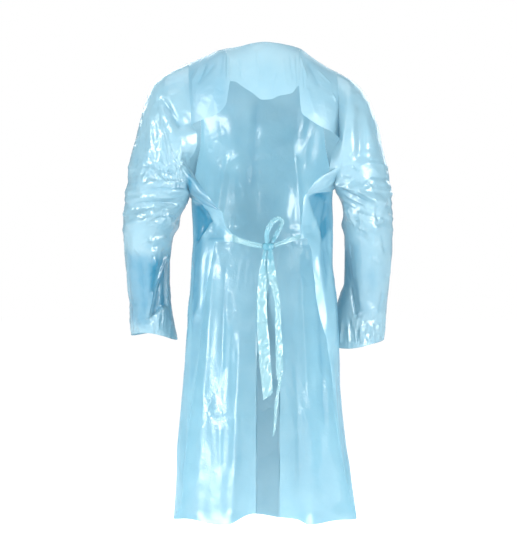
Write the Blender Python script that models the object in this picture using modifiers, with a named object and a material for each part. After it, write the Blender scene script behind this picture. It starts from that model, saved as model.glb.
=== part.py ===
"""Disposable isolation gown of thin polyethylene film, in the hollow pose it takes when worn.

Metres. +X is the wearer's right, +Y the wearer's front, +Z up. The origin is where the shoulders
hold the gown up, midway between the two shoulder points of the neck opening.
The front is one panel that wraps round both sides to the back. The back is open: a neck yoke and
two shoulder wings end in a star-shaped cut, and waist ties are fastened in a half bow.
"""

import bisect
import math

import bpy
from mathutils import Vector

COLLECTION = "disposable_gown"
WALL = 0.0012  # thickness of the wall that stands for the film
SEAM = 0.0003  # gap between neighbouring pieces
SLIT = 0.0003  # half the gap at the slits beside the neck yoke
RIDGE_GAP = 0.00035  # half the gap along the shoulder line
FACET_TURN = 0.75  # sine of the least turn that a seam's gap allows for, for the facets' sake
MERGE = 0.00001  # points closer than this are one point
SETTLING = 12  # rounds in which a top end finds its height
NEAR = 0.001  # step to either side when a direction is worked out

BODY_Y = 0.005  # the body's middle, front to back
FRONT_ROUNDING = 0.20  # height over which the chest rounds off up to the shoulder line
BACK_ROUNDING = 0.15  # the same on the back
NECK_HALF = 0.092  # half the width of the neck opening
NECK_SCOOP = 0.062  # how far the front neckline drops below the shoulder points
NECK_ROUND = 0.7  # below 1 the scoop is rounder than half a wave
ARMHOLE_TOP = 0.18  # distance of the armhole's top from the body's middle
CHEST_ROWS_END = -0.30  # height where the panel's rows turn level

SLEEVE_STEPS = 22  # rows along a sleeve
FREE_STEPS = 8  # stretches of the sleeve's free back edge
WING_POINTS = 8  # points across a back piece
WING_ROWS = 6  # rows down a back piece
NECK_CORNER = {-1: 0.69, 1: 0.754}  # the neck's corner, as a share of the way to the pleat
SHOULDER_POINTS = 5  # columns of the front panel from its side line to the neck's corner
NECK_POINTS = 4  # columns from there to the pleat
FLAP_POINTS = 5  # points from the side line to the back edge
SIDE_TURN = 90.0  # the side line, in degrees round the body from the front centre
HEM_SHARES = (0.5, 1.0)  # rows from the last level one down to the hem
CHEST_SHARES = (0.0, 0.05, 0.17, 0.35, 0.56, 0.78)  # rows from the shoulder line down the chest

PLEAT_MIDDLE = 0.0137  # the centre pleat's place across the front
PLEAT_HALF = 0.0286
PLEAT_REACH = 1.10  # where the panel passes into the pleat, in half widths from its middle
PLEAT_LAYER = 0.0026  # distance between the middles of the pleat's layers
PLEAT_RIPPLE = 0.012  # depth of the soft wave that the pleat starts as
PLEAT_TOP = -0.52  # where the wave starts
PLEAT_FLAT = -0.80  # from here down the pleat lies flat


class Line:
    """A smooth line through rows of (station, value) that never overshoots them."""

    def __init__(self, stations, values):
        self.stations = stations
        self.values = values
        self.gaps = [after - before for before, after in zip(stations, stations[1:])]
        rises = [(after - before) / gap for before, after, gap in zip(values, values[1:], self.gaps)]
        inner = [2 * a * b / (a + b) if a * b > 0 else 0.0 for a, b in zip(rises, rises[1:])]
        self.slopes = [rises[0], *inner, rises[-1]]

    def __call__(self, station):
        start = bisect.bisect_right(self.stations, station) - 1
        start = min(max(start, 0), len(self.gaps) - 1)
        gap = self.gaps[start]
        t = min(max((station - self.stations[start]) / gap, 0.0), 1.0)
        value = (1 + 2 * t) * (1 - t) ** 2 * self.values[start]
        value += (3 - 2 * t) * t**2 * self.values[start + 1]
        value += t * (1 - t) ** 2 * gap * self.slopes[start]
        return value - t**2 * (1 - t) * gap * self.slopes[start + 1]


def lines(columns, *rows):
    """One smooth line for each column of a table after the first, by the column's name."""
    rows = sorted(rows)
    stations = [row[0] for row in rows]
    names = columns.split()
    return {name: Line(stations, [row[i] for row in rows]) for i, name in enumerate(names) if i}


# Level sections of the body: half width, shift to +X, depths from the middle, squareness
BODY = lines(
    "height half shift front back square",
    (0.05, 0.215, 0.0, 0.130, 0.118, 3.0),
    (-0.10, 0.212, 0.0, 0.130, 0.118, 3.0),
    (-0.20, 0.200, 0.0, 0.135, 0.122, 2.8),
    (-0.28, 0.186, 0.0, 0.134, 0.124, 2.5),
    (-0.33, 0.1765, -0.001, 0.132, 0.123, 2.3),
    (-0.365, 0.1725, -0.002, 0.130, 0.122, 2.3),
    (-0.42, 0.1710, -0.0005, 0.126, 0.120, 2.2),
    (-0.47, 0.1703, 0.0, 0.122, 0.118, 2.1),
    (-0.53, 0.1722, -0.0018, 0.128, 0.120, 2.1),
    (-0.59, 0.1785, 0.0015, 0.138, 0.122, 2.15),
    (-0.65, 0.1838, 0.0, 0.145, 0.125, 2.2),
    (-0.77, 0.1900, -0.001, 0.150, 0.128, 2.2),
    (-0.86, 0.1958, -0.0033, 0.151, 0.130, 2.2),
    (-0.96, 0.2070, -0.0025, 0.152, 0.132, 2.2),
    (-1.03, 0.2132, 0.0012, 0.153, 0.134, 2.2),
    (-1.10, 0.2193, 0.0049, 0.155, 0.135, 2.2),
    (-1.19, 0.2250, 0.0085, 0.158, 0.136, 2.2),
)

# Height of the shoulder line, which runs on over the open neck as if it were closed
RIDGE = lines(
    "x height",
    (-0.24, -0.0630),
    (-0.205, -0.0466),
    (-0.173, -0.0319),
    (-0.138, -0.0172),
    (-0.109, -0.0040),
    (-0.092, 0.0005),
    (0.0, 0.0290),
    (0.093, -0.0007),
    (0.116, -0.0172),
    (0.1385, -0.0319),
    (0.163, -0.0466),
    (0.1924, -0.0613),
    (0.24, -0.0900),
)["height"]

# How far the front panel reaches round the body, in degrees from the front centre, down the front
# of the armhole to the side line
ARMHOLE_EDGE = {
    -1: lines(
        "height turn",
        (0.0, 50.0),
        (-0.04, 50.0),
        (-0.10, 44.5),
        (-0.16, 42.0),
        (-0.22, 46.5),
        (-0.28, 59.0),
        (-0.32, 71.0),
        (-0.345, 80.0),
        (-0.3655, 90.0),
    )["turn"],
    1: lines(
        "height turn",
        (0.0, 50.0),
        (-0.05, 50.0),
        (-0.10, 44.5),
        (-0.16, 42.0),
        (-0.22, 47.5),
        (-0.27, 58.0),
        (-0.31, 72.0),
        (-0.335, 84.0),
        (-0.345, 90.0),
    )["turn"],
}
UNDERARM = {-1: -0.3655, 1: -0.345}  # height where the armhole meets the side line

# The weld between the panel and the sleeve, under the arm and on to the back
WELD = {
    -1: lines(
        "turn height",
        (90.0, -0.3655),
        (100.0, -0.372),
        (118.0, -0.380),
        (138.5, -0.394),
    )["height"],
    1: lines(
        "turn height",
        (90.0, -0.345),
        (100.0, -0.3505),
        (120.0, -0.354),
        (141.7, -0.359),
    )["height"],
}

# The flap beyond the line of the back edge: on along the weld to its end, then down to the tie
FLAP_EDGE = {
    -1: lines(
        "height turn",
        (-0.394, 138.5),
        (-0.4037, 148.6),
        (-0.4295, 149.5),
        (-0.445, 152.6),
        (-0.456, 156.1),
        (-0.48, 156.1),
    )["turn"],
    1: lines(
        "height turn",
        (-0.359, 141.7),
        (-0.3615, 145.9),
        (-0.3745, 147.6),
        (-0.4104, 147.9),
        (-0.4562, 148.6),
        (-0.48, 148.6),
    )["turn"],
}
FLAP_LEVEL = {-1: -0.417, 1: -0.3872}  # the first level row of the flap, below its slanting top

# The panel's back edges from the waist down, in degrees from the front centre
BACK_EDGE = {
    -1: lines(
        "height turn",
        (-0.35, 138.5),
        (-0.472, 138.5),
        (-0.532, 136.5),
        (-0.592, 132.7),
        (-0.635, 132.3),
        (-0.768, 127.6),
        (-0.866, 123.9),
        (-0.962, 120.7),
        (-1.060, 115.9),
        (-1.119, 112.8),
        (-1.160, 110.0),
    )["turn"],
    1: lines(
        "height turn",
        (-0.35, 141.7),
        (-0.472, 141.7),
        (-0.495, 138.0),
        (-0.560, 136.3),
        (-0.600, 137.3),
        (-0.649, 135.0),
        (-0.729, 126.7),
        (-0.846, 119.7),
        (-0.944, 117.9),
        (-1.060, 111.8),
        (-1.119, 101.5),
        (-1.160, 97.0),
    )["turn"],
}
FLAP_TOP = {-1: -0.394, 1: -0.359}  # where the flap passes the line of the back edge
TIE_HEAD = {-1: -0.456, 1: -0.456}  # the upper corner where the tie leaves the flap
TIE_FOOT = {-1: -0.474, 1: -0.4666}  # the lower one

# Level rows of the front panel between the chest and the hem
PANEL_HEIGHTS = (
    [-0.30, -0.325, -0.345, -0.3487, -0.3655, -0.3764, -0.3872, -0.402, -0.417, -0.431, -0.445]
    + [-0.456, -0.4666, -0.474, -0.490, -0.515, -0.55, -0.59, -0.635, -0.68, -0.73, -0.78]
    + [-0.83, -0.88, -0.93, -0.98, -1.03, -1.08]
)

# Height of the hem round the body, in degrees from the front centre towards +X
HEM = lines(
    "turn height",
    (-111, -1.121),
    (-98, -1.143),
    (-85, -1.155),
    (-60, -1.166),
    (-24, -1.189),
    (-5, -1.162),
    (8, -1.171),
    (20, -1.176),
    (29, -1.188),
    (48, -1.175),
    (75, -1.162),
    (90, -1.152),
    (99, -1.121),
)["height"]

# The pleat's cross-section, across it and outwards, in units of its half width and its layers
PLEAT = lines(
    "step across out",
    (0, -PLEAT_REACH, 0.0),
    (1, -0.80, 0.8),
    (2, 0.30, 1.0),
    (3, 0.96, 1.0),
    (4, 1.00, 0.5),
    (5, 0.94, 0.0),
    (6, 0.0, 0.0),
    (7, -0.94, 0.0),
    (8, -1.00, -0.5),
    (9, -0.94, -1.0),
    (10, -0.30, -1.0),
    (11, 0.80, -0.8),
    (12, PLEAT_REACH, 0.0),
)
PLEAT_STEPS = 12

# The free back edge of the sleeve: down the armhole, past the star's corner, down to the wing's tip
FREE_EDGE = {
    -1: lines(
        "height x",
        (-0.036, 0.180),
        (-0.100, 0.177),
        (-0.150, 0.173),
        (-0.1925, 0.1712),
        (-0.2145, 0.1572),
        (-0.2353, 0.1572),
        (-0.2587, 0.1639),
        (-0.2783, 0.1768),
        (-0.2864, 0.1770),
        (-0.3046, 0.1691),
        (-0.3440, 0.1455),
        (-0.3882, 0.1118),
        (-0.4037, 0.0963),
    )["x"],
    1: lines(
        "height x",
        (-0.056, 0.180),
        (-0.120, 0.183),
        (-0.180, 0.184),
        (-0.2229, 0.1847),
        (-0.2432, 0.1746),
        (-0.2670, 0.1674),
        (-0.2831, 0.1629),
        (-0.3029, 0.1607),
        (-0.3157, 0.1406),
        (-0.3428, 0.1161),
        (-0.3615, 0.1037),
    )["x"],
}
WING_TIP = {-1: -0.4030, 1: -0.3608}  # height of the wing's tip, at the end of the weld

# Where a point of the armhole lies round the sleeve, in degrees from its top by way of the back:
# on the back by its share of the drop from the top to the wing's tip, on the front to the underarm
BACK_AROUND = lines(
    "share around",
    (0, 0),
    (0.02, 15),
    (0.14, 40),
    (0.46, 90),
    (0.70, 115),
    (1, 150),
)["around"]
FRONT_AROUND = lines(
    "share around",
    (0, 360),
    (0.04, 340),
    (0.14, 320),
    (0.29, 297),
    (0.46, 270),
    (0.64, 247),
    (0.81, 219),
    (0.935, 197),
    (1, 180),
)["around"]

# Sections of the sleeves by step: the outer and inner ends, the middle and half depth along Y.
# The upper sections fan out from under the arm, the lower ones are level.
SLEEVE = {
    -1: lines(
        "step outer_x outer_z inner_x inner_z middle_y deep",
        (1, 0.237, -0.061, 0.1790, -0.3625, 0.004, 0.104),
        (2, 0.269, -0.090, 0.1805, -0.368, 0.004, 0.102),
        (3, 0.283, -0.124, 0.183, -0.373, 0.005, 0.100),
        (4, 0.298, -0.173, 0.185, -0.378, 0.005, 0.095),
        (5, 0.310, -0.223, 0.188, -0.382, 0.005, 0.091),
        (6, 0.323, -0.272, 0.190, -0.387, 0.006, 0.087),
        (7, 0.330, -0.320, 0.195, -0.394, 0.008, 0.083),
        (8, 0.338, -0.369, 0.203, -0.410, 0.012, 0.079),
        (9, 0.341, -0.418, 0.213, -0.436, 0.018, 0.076),
        (10, 0.342, -0.467, 0.223, -0.467, 0.028, 0.072),
        (11, 0.340, -0.517, 0.228, -0.517, 0.040, 0.068),
        (12, 0.336, -0.566, 0.229, -0.566, 0.052, 0.064),
        (13, 0.332, -0.616, 0.228, -0.616, 0.064, 0.060),
        (14, 0.329, -0.666, 0.221, -0.666, 0.074, 0.057),
        (15, 0.325, -0.699, 0.210, -0.709, 0.080, 0.055),
    ),
    1: lines(
        "step outer_x outer_z inner_x inner_z middle_y deep",
        (1, 0.215, -0.075, 0.1775, -0.342, 0.004, 0.104),
        (2, 0.234, -0.092, 0.1795, -0.347, 0.004, 0.102),
        (3, 0.250, -0.112, 0.180, -0.351, 0.005, 0.100),
        (4, 0.266, -0.144, 0.182, -0.354, 0.005, 0.096),
        (5, 0.281, -0.191, 0.184, -0.357, 0.005, 0.092),
        (6, 0.293, -0.247, 0.187, -0.361, 0.006, 0.088),
        (7, 0.306, -0.296, 0.190, -0.367, 0.008, 0.084),
        (8, 0.315, -0.340, 0.195, -0.377, 0.012, 0.080),
        (9, 0.319, -0.389, 0.200, -0.401, 0.018, 0.076),
        (10, 0.319, -0.443, 0.203, -0.448, 0.028, 0.072),
        (11, 0.317, -0.504, 0.204, -0.504, 0.042, 0.067),
        (12, 0.315, -0.566, 0.203, -0.564, 0.058, 0.062),
        (13, 0.311, -0.621, 0.190, -0.611, 0.072, 0.058),
        (14, 0.308, -0.679, 0.178, -0.671, 0.082, 0.056),
        (15, 0.304, -0.721, 0.175, -0.734, 0.087, 0.055),
    ),
}
CUFF_STEP = 15
CUFF_WAVE = 0.006  # how far the cuffs' edges swing up and down
FOLDS_FROM_STEP = 1.5  # the sleeve's folds fade out from here to the armhole

# Cut edges of the back pieces as (x, height): each runs from the neck slit outwards or across
SLIT_TOP = {-1: (-0.0905, 0.0), 1: (0.0905, -0.0007)}
SLIT_FOOT = {-1: (-0.0780, -0.0905), 1: (0.0868, -0.1008)}
STAR_EDGE = {
    -1: lines(
        "along x height",
        (0.0, -0.0780, -0.0905),
        (0.1, -0.0815, -0.1140),
        (0.3, -0.0865, -0.1450),
        (0.45, -0.1010, -0.1640),
        (0.6, -0.1160, -0.1730),
        (0.8, -0.1480, -0.1835),
        (1.0, -0.1712, -0.1925),
    ),
    1: lines(
        "along x height",
        (0.0, 0.0868, -0.1008),
        (0.12, 0.0880, -0.1243),
        (0.33, 0.0925, -0.1650),
        (0.45, 0.1083, -0.1801),
        (0.63, 0.1355, -0.1970),
        (0.86, 0.1696, -0.2116),
        (1.0, 0.1847, -0.2229),
    ),
}
YOKE_TOP = lines(
    "along x height",
    (0.0, -0.0905, 0.0),
    (0.1, -0.0753, -0.0002),
    (0.5, 0.0, 0.0105),
    (0.9, 0.0715, 0.0025),
    (1.0, 0.0905, -0.0007),
)
YOKE_FOOT = lines(
    "along x height",
    (0.0, -0.0780, -0.0905),
    (0.07, -0.0662, -0.0922),
    (0.18, -0.0471, -0.1053),
    (0.31, -0.0263, -0.1187),
    (0.47, 0.0005, -0.1367),
    (0.60, 0.0217, -0.1350),
    (0.70, 0.0391, -0.1274),
    (0.83, 0.0613, -0.1229),
    (0.90, 0.0725, -0.1186),
    (0.95, 0.0791, -0.1089),
    (1.0, 0.0868, -0.1008),
)

# The largest folds, each a straight run on one face: its two ends, half width and height.
# Heights above zero are ridges, below zero troughs. A face is -1 for the back, 1 for the front.
# Columns: face, x_start, z_start, x_end, z_end, width, height.
BODY_FOLDS = (
    (-1, -0.168, -0.400, -0.125, -0.440, 0.030, -0.016),
    (-1, -0.155, -0.470, -0.150, -0.640, 0.022, 0.007),
    (-1, 0.155, -0.385, 0.130, -0.440, 0.028, -0.016),
    (-1, 0.150, -0.520, 0.160, -0.700, 0.022, 0.007),
    (1, -0.120, -0.480, -0.165, -1.150, 0.035, 0.012),
    (1, -0.055, -0.700, -0.075, -1.150, 0.030, 0.010),
    (1, 0.095, -0.560, 0.115, -1.150, 0.032, 0.011),
    (1, 0.155, -0.820, 0.190, -1.120, 0.030, 0.010),
    (1, -0.080, -0.160, -0.020, -0.420, 0.030, 0.008),
    (1, 0.090, -0.140, 0.060, -0.400, 0.030, 0.008),
)
SLEEVE_FOLDS = {
    -1: (
        (-1, -0.240, -0.135, -0.198, -0.198, 0.012, -0.009),
        (-1, -0.300, -0.330, -0.190, -0.355, 0.015, 0.010),
        (-1, -0.310, -0.395, -0.215, -0.375, 0.012, -0.008),
        (-1, -0.320, -0.430, -0.230, -0.420, 0.013, 0.008),
        (-1, -0.235, -0.500, -0.280, -0.660, 0.014, -0.010),
        (1, -0.310, -0.400, -0.220, -0.430, 0.016, 0.009),
        (1, -0.300, -0.300, -0.210, -0.350, 0.016, -0.008),
        (1, -0.320, -0.500, -0.250, -0.600, 0.016, 0.007),
    ),
    1: (
        (-1, 0.175, -0.325, 0.285, -0.378, 0.014, 0.010),
        (-1, 0.195, -0.385, 0.270, -0.440, 0.013, 0.008),
        (-1, 0.235, -0.150, 0.232, -0.270, 0.014, -0.007),
        (-1, 0.210, -0.490, 0.235, -0.640, 0.013, -0.008),
        (1, 0.300, -0.400, 0.210, -0.430, 0.016, 0.009),
        (1, 0.290, -0.300, 0.205, -0.340, 0.016, -0.008),
        (1, 0.300, -0.500, 0.240, -0.600, 0.016, 0.007),
    ),
}

# The ties and tails: the line down the middle of each band of film, and half its width
TIE_LEFT = lines(
    "step x y z half",
    (0, -0.0727, -0.1050, -0.4650, 0.0090),
    (1, -0.0560, -0.1170, -0.4715, 0.0068),
    (2, -0.0300, -0.1235, -0.4795, 0.0062),
    (3, 0.0020, -0.1285, -0.4860, 0.0052),
)
TIE_RIGHT = lines(
    "step x y z half",
    (0, 0.0918, -0.0990, -0.4614, 0.0053),
    (1, 0.0700, -0.1150, -0.4680, 0.0058),
    (2, 0.0480, -0.1220, -0.4765, 0.0055),
    (3, 0.0240, -0.1285, -0.4845, 0.0048),
)
TAIL_LEFT = lines(
    "step x y z half",
    (0, 0.0070, -0.1275, -0.4920, 0.0050),
    (1, 0.0035, -0.1275, -0.5250, 0.0070),
    (2, 0.0025, -0.1275, -0.5610, 0.0125),
    (3, -0.0020, -0.1270, -0.6120, 0.0119),
    (4, -0.0010, -0.1275, -0.6610, 0.0123),
    (5, 0.0023, -0.1280, -0.7080, 0.0133),
    (6, 0.0050, -0.1275, -0.7550, 0.0131),
    (7, 0.0086, -0.1270, -0.7910, 0.0125),
    (8, 0.0130, -0.1275, -0.8420, 0.0110),
)
TAIL_RIGHT = lines(
    "step x y z half",
    (0, 0.0175, -0.1305, -0.4920, 0.0050),
    (1, 0.0195, -0.1340, -0.5250, 0.0080),
    (2, 0.0222, -0.1350, -0.5540, 0.0100),
    (3, 0.0300, -0.1345, -0.5900, 0.0080),
    (4, 0.0352, -0.1335, -0.6250, 0.0065),
    (5, 0.0368, -0.1335, -0.6700, 0.0067),
    (6, 0.0390, -0.1340, -0.7300, 0.0084),
    (7, 0.0400, -0.1335, -0.7800, 0.0080),
    (8, 0.0404, -0.1330, -0.8060, 0.0040),
    (9, 0.0347, -0.1335, -0.8400, 0.0045),
    (10, 0.0311, -0.1335, -0.8800, 0.0045),
    (11, 0.0275, -0.1335, -0.9290, 0.0035),
)
LOOP = lines(
    "step x y z half",
    (0, 0.0105, -0.1315, -0.4810, 0.0040),
    (1, 0.0095, -0.1400, -0.4600, 0.0056),
    (2, 0.0140, -0.1430, -0.4430, 0.0060),
    (3, 0.0255, -0.1420, -0.4270, 0.0056),
    (4, 0.0390, -0.1370, -0.4200, 0.0050),
    (5, 0.0470, -0.1310, -0.4265, 0.0046),
    (6, 0.0420, -0.1270, -0.4410, 0.0050),
    (7, 0.0330, -0.1255, -0.4570, 0.0054),
    (8, 0.0190, -0.1265, -0.4810, 0.0040),
)
KNOT_MIDDLE = (0.0128, -0.1290, -0.4860)
KNOT_SIZE = (0.0140, 0.0060, 0.0095)  # half sizes along X, Y and Z
KNOT_SQUARE = 0.8  # below 1 its sides are fuller than a ball's
BAND_STEP = 3  # rows for each step of a band's table
BAND_SHARES = (-1, -0.5, 0, 0.5, 1)  # points across a band
BAND_BULGE = 0.25  # how far a band's middle bulges, as a share of its half width
TAIL_SLANT = 0.018  # how much higher one corner of a cut tail end is


def mix(start, end, share):
    return start + (end - start) * share


def body(turn, height):
    """The point `turn` degrees round the body from its front centre, positive towards +X."""
    sine = math.sin(math.radians(turn))
    cosine = math.cos(math.radians(turn))
    power = 2 / BODY["square"](height)
    x = BODY["shift"](height) + math.copysign(abs(sine) ** power, sine) * BODY["half"](height)
    return Vector((x, depth_at(abs(cosine) ** power, x, height, math.copysign(1, cosine)), height))


def depth_at(share, x, height, face):
    """Y on one face, where `share` is the section's own share of its full depth."""
    full = BODY["front" if face > 0 else "back"](height)
    rounding = FRONT_ROUNDING if face > 0 else BACK_ROUNDING
    low = min(max((RIDGE(x) - height) / rounding, 0.0), 1.0)
    rounded = math.sqrt(1 - (1 - low) ** 2)
    return BODY_Y + face * (full * share * rounded + RIDGE_GAP * (1 - rounded))


def skin(x, height, face):
    """The point of the body's front or back face at x and a height."""
    square = BODY["square"](height)
    side = min(abs(x - BODY["shift"](height)) / BODY["half"](height), 1.0)
    share = (1 - side**square) ** (1 / square)
    return Vector((x, depth_at(share, x, height, face), height))


def outward_at(turn, height):
    """The direction straight out of the body at a place round it."""
    across = wrapped(turn + 1, height) - wrapped(turn - 1, height)
    down = wrapped(turn, height - NEAR) - wrapped(turn, height + NEAR)
    return across.cross(down).normalized()


def wrapped(turn, height):
    """The body's point there, with the body's folds."""
    outward = Vector((math.sin(math.radians(turn)), math.cos(math.radians(turn)), 0))
    return folded(body(turn, height), outward, BODY_FOLDS)


def back_point(x, height):
    """The point of the back at x and a height, with the body's folds."""
    return folded(skin(x, height, -1), Vector((0, -1, 0)), BODY_FOLDS)


def turn_at(x, height):
    """How far round the front a place x lies, in degrees."""
    side = (x - BODY["shift"](height)) / BODY["half"](height)
    return math.degrees(math.copysign(math.asin(abs(side) ** (BODY["square"](height) / 2)), side))


def folded(point, outward, folds):
    """The point moved out or in by the folds that run past it on its own face."""
    move = 0.0
    for fold in folds:
        face, x_start, z_start, x_end, z_end, width, height = fold
        run_x = x_end - x_start
        run_z = z_end - z_start
        length = math.hypot(run_x, run_z)
        from_x = point.x - x_start
        from_z = point.z - z_start
        along = (from_x * run_x + from_z * run_z) / length**2
        beside = abs(from_x * run_z - from_z * run_x) / length
        past = max(-along, along - 1, 0.0) * length
        facing = min(max(2 * face * outward.y, 0.0), 1.0)
        move += height * facing * math.exp(-(math.hypot(beside, past) / width) ** 2)
    return point + outward * move


def neck_or_ridge(x):
    """Height of the front panel's top edge: the shoulder line, and the scoop between its points."""
    share = abs(x) / NECK_HALF
    if share >= 1:
        return RIDGE(x)
    return RIDGE(math.copysign(NECK_HALF, x)) - NECK_SCOOP * math.cos(math.pi / 2 * share) ** NECK_ROUND


def panel_edge(side, height):
    """How far round the front part of the panel reaches: to the armhole, then the side line."""
    return min(ARMHOLE_EDGE[side](height), SIDE_TURN)


def column_turn(column, height):
    """How far round the body a column beside the pleat lies, (-1 or 1, share inwards)."""
    side, share = column
    beside_pleat = turn_at(PLEAT_MIDDLE + side * PLEAT_REACH * PLEAT_HALF, height)
    return mix(side * panel_edge(side, height), beside_pleat, share)


def panel_point(column, height):
    """A point of the front panel, whose column is (-1 or 1, share inwards) or (0, step of the pleat)."""
    if column[0]:
        return wrapped(column_turn(column, height), height)
    step = column[1]
    pressed = min(max((PLEAT_TOP - height) / (PLEAT_TOP - PLEAT_FLAT), 0.0), 1.0)
    pressed = pressed**2 * (3 - 2 * pressed)
    across = mix(PLEAT_REACH * (2 * step / PLEAT_STEPS - 1), PLEAT["across"](step), pressed)
    out = PLEAT["out"](step) * (PLEAT_LAYER * pressed + PLEAT_RIPPLE * pressed * (1 - pressed))
    x = PLEAT_MIDDLE + across * PLEAT_HALF
    point = folded(body(turn_at(x, height), height), Vector((0, 1, 0)), BODY_FOLDS)
    return point + Vector((0, out, 0))


def panel_top(column):
    """Height of a column's top end, on the shoulder line or the neck."""
    height = RIDGE(ARMHOLE_TOP)
    for _ in range(SETTLING):
        height = neck_or_ridge(panel_point(column, height).x)
    return height


def panel_foot(column):
    """Height of a column's foot, on the hem."""
    lowest = PANEL_HEIGHTS[-1]
    if column[0]:
        return HEM(column_turn(column, lowest))
    return HEM(turn_at(panel_point(column, lowest).x, lowest))


def side_columns(side):
    """The columns on one side of the pleat, from the side line inwards."""
    corner = NECK_CORNER[side]
    shares = [corner * i / SHOULDER_POINTS for i in range(SHOULDER_POINTS)]
    shares += [mix(corner, 1, i / NECK_POINTS) for i in range(NECK_POINTS)]
    return [(side, share) for share in shares]


def front_panel():
    columns = side_columns(-1)
    columns += [(0, step) for step in range(PLEAT_STEPS + 1)]
    columns += reversed(side_columns(1))
    tops = [panel_top(column) for column in columns]
    feet = [panel_foot(column) for column in columns]
    rows = []
    for share in CHEST_SHARES:
        heights = [mix(top, CHEST_ROWS_END, share) for top in tops]
        rows.append([panel_point(*pair) for pair in zip(columns, heights)])
    for height in PANEL_HEIGHTS:
        rows.append([panel_point(column, height) for column in columns])
    for share in HEM_SHARES:
        heights = [mix(PANEL_HEIGHTS[-1], foot, share) for foot in feet]
        rows.append([panel_point(*pair) for pair in zip(columns, heights)])
    grids = [rows]
    for side in (-1, 1):
        for part in (flap_places(side), tongue_places(side)):
            grid = [[wrapped(side * turn, height) for turn, height in row] for row in part]
            grids.append(grid if side > 0 else [row[::-1] for row in grid])
    return film("front_panel", grids)


def flap_places(side):
    """Rows of (turn, height) from the side line to the back edge, from the weld to the hem."""
    shares = [i / (FLAP_POINTS - 1) for i in range(FLAP_POINTS)]
    rows = []
    for start in PANEL_HEIGHTS:
        if start > UNDERARM[side]:
            continue
        down = (UNDERARM[side] - start) / (UNDERARM[side] - FLAP_LEVEL[side])
        edge = mix(FLAP_TOP[side], FLAP_LEVEL[side], down) if down < 1 else start
        turns = [mix(SIDE_TURN, BACK_EDGE[side](edge), share) for share in shares]
        heights = [start] * FLAP_POINTS
        if down < 1:
            heights = [mix(WELD[side](turn), FLAP_LEVEL[side], down) for turn in turns]
        rows.append(list(zip(turns, heights)))
    lowest = PANEL_HEIGHTS[-1]
    foot_edge = BACK_EDGE[side](HEM(side * BACK_EDGE[side](lowest)))
    feet = [HEM(side * mix(SIDE_TURN, foot_edge, share)) for share in shares]
    for drop in HEM_SHARES:
        heights = [mix(lowest, foot, drop) for foot in feet]
        edge = BACK_EDGE[side](heights[-1])
        rows.append([(mix(SIDE_TURN, edge, share), height) for share, height in zip(shares, heights)])
    return rows


def tongue_places(side):
    """Rows of (turn, height) over the part of the flap that narrows into the tie."""
    rows = []
    for turn, height in [row[-1] for row in flap_places(side)]:
        if height >= TIE_FOOT[side]:
            outer = FLAP_EDGE[side](height)
            rows.append([(turn, height), ((turn + outer) / 2, height), (outer, height)])
    return rows


def patch(top, foot, inner, outer):
    """Rows of points over a four-sided piece of the back, from its edges as (x, height)."""
    rows = []
    for row in range(WING_ROWS):
        down = row / (WING_ROWS - 1)
        points = []
        for column in range(WING_POINTS):
            across = column / (WING_POINTS - 1)
            place = []
            for axis in (0, 1):
                ruled = mix(top(across)[axis], foot(across)[axis], down)
                ruled += mix(inner(down)[axis], outer(down)[axis], across)
                near = mix(top(0)[axis], foot(0)[axis], down)
                far = mix(top(1)[axis], foot(1)[axis], down)
                place.append(ruled - mix(near, far, across))
            points.append(skin(*place, -1))
        rows.append(points)
    return rows


def shoulder(side, name):
    """One back shoulder wing, from the neck slit to the armhole."""
    star = STAR_EDGE[side]
    slit_top = SLIT_TOP[side][0] + side * SLIT
    slit_foot = SLIT_FOOT[side][0] + side * SLIT
    corner = star["height"](1)

    def top(across):
        x = mix(slit_top, side * ARMHOLE_TOP, across)
        return x, RIDGE(x)

    def foot(across):
        return star["x"](across) + side * SLIT * (1 - across), star["height"](across)

    def inner(down):
        return mix(slit_top, slit_foot, down), mix(RIDGE(slit_top), SLIT_FOOT[side][1], down)

    def outer(down):
        height = mix(RIDGE(side * ARMHOLE_TOP), corner, down)
        return side * FREE_EDGE[side](height), height

    rows = patch(top, foot, inner, outer)
    return film(name, [rows if side > 0 else [row[::-1] for row in rows]])


def yoke():
    """The flap behind the neck, between the two slits."""

    def top(across):
        return mix(-0.0905 + SLIT, 0.0905 - SLIT, across), YOKE_TOP["height"](across)

    def foot(across):
        trim = SLIT * (1 - 2 * across)
        return YOKE_FOOT["x"](across) + trim, YOKE_FOOT["height"](across)

    def inner(down):
        x = mix(top(0)[0], foot(0)[0], down)
        return x, mix(top(0)[1], foot(0)[1], down)

    def outer(down):
        x = mix(top(1)[0], foot(1)[0], down)
        return x, mix(top(1)[1], foot(1)[1], down)

    return film("back_yoke", [patch(top, foot, inner, outer)])


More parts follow.
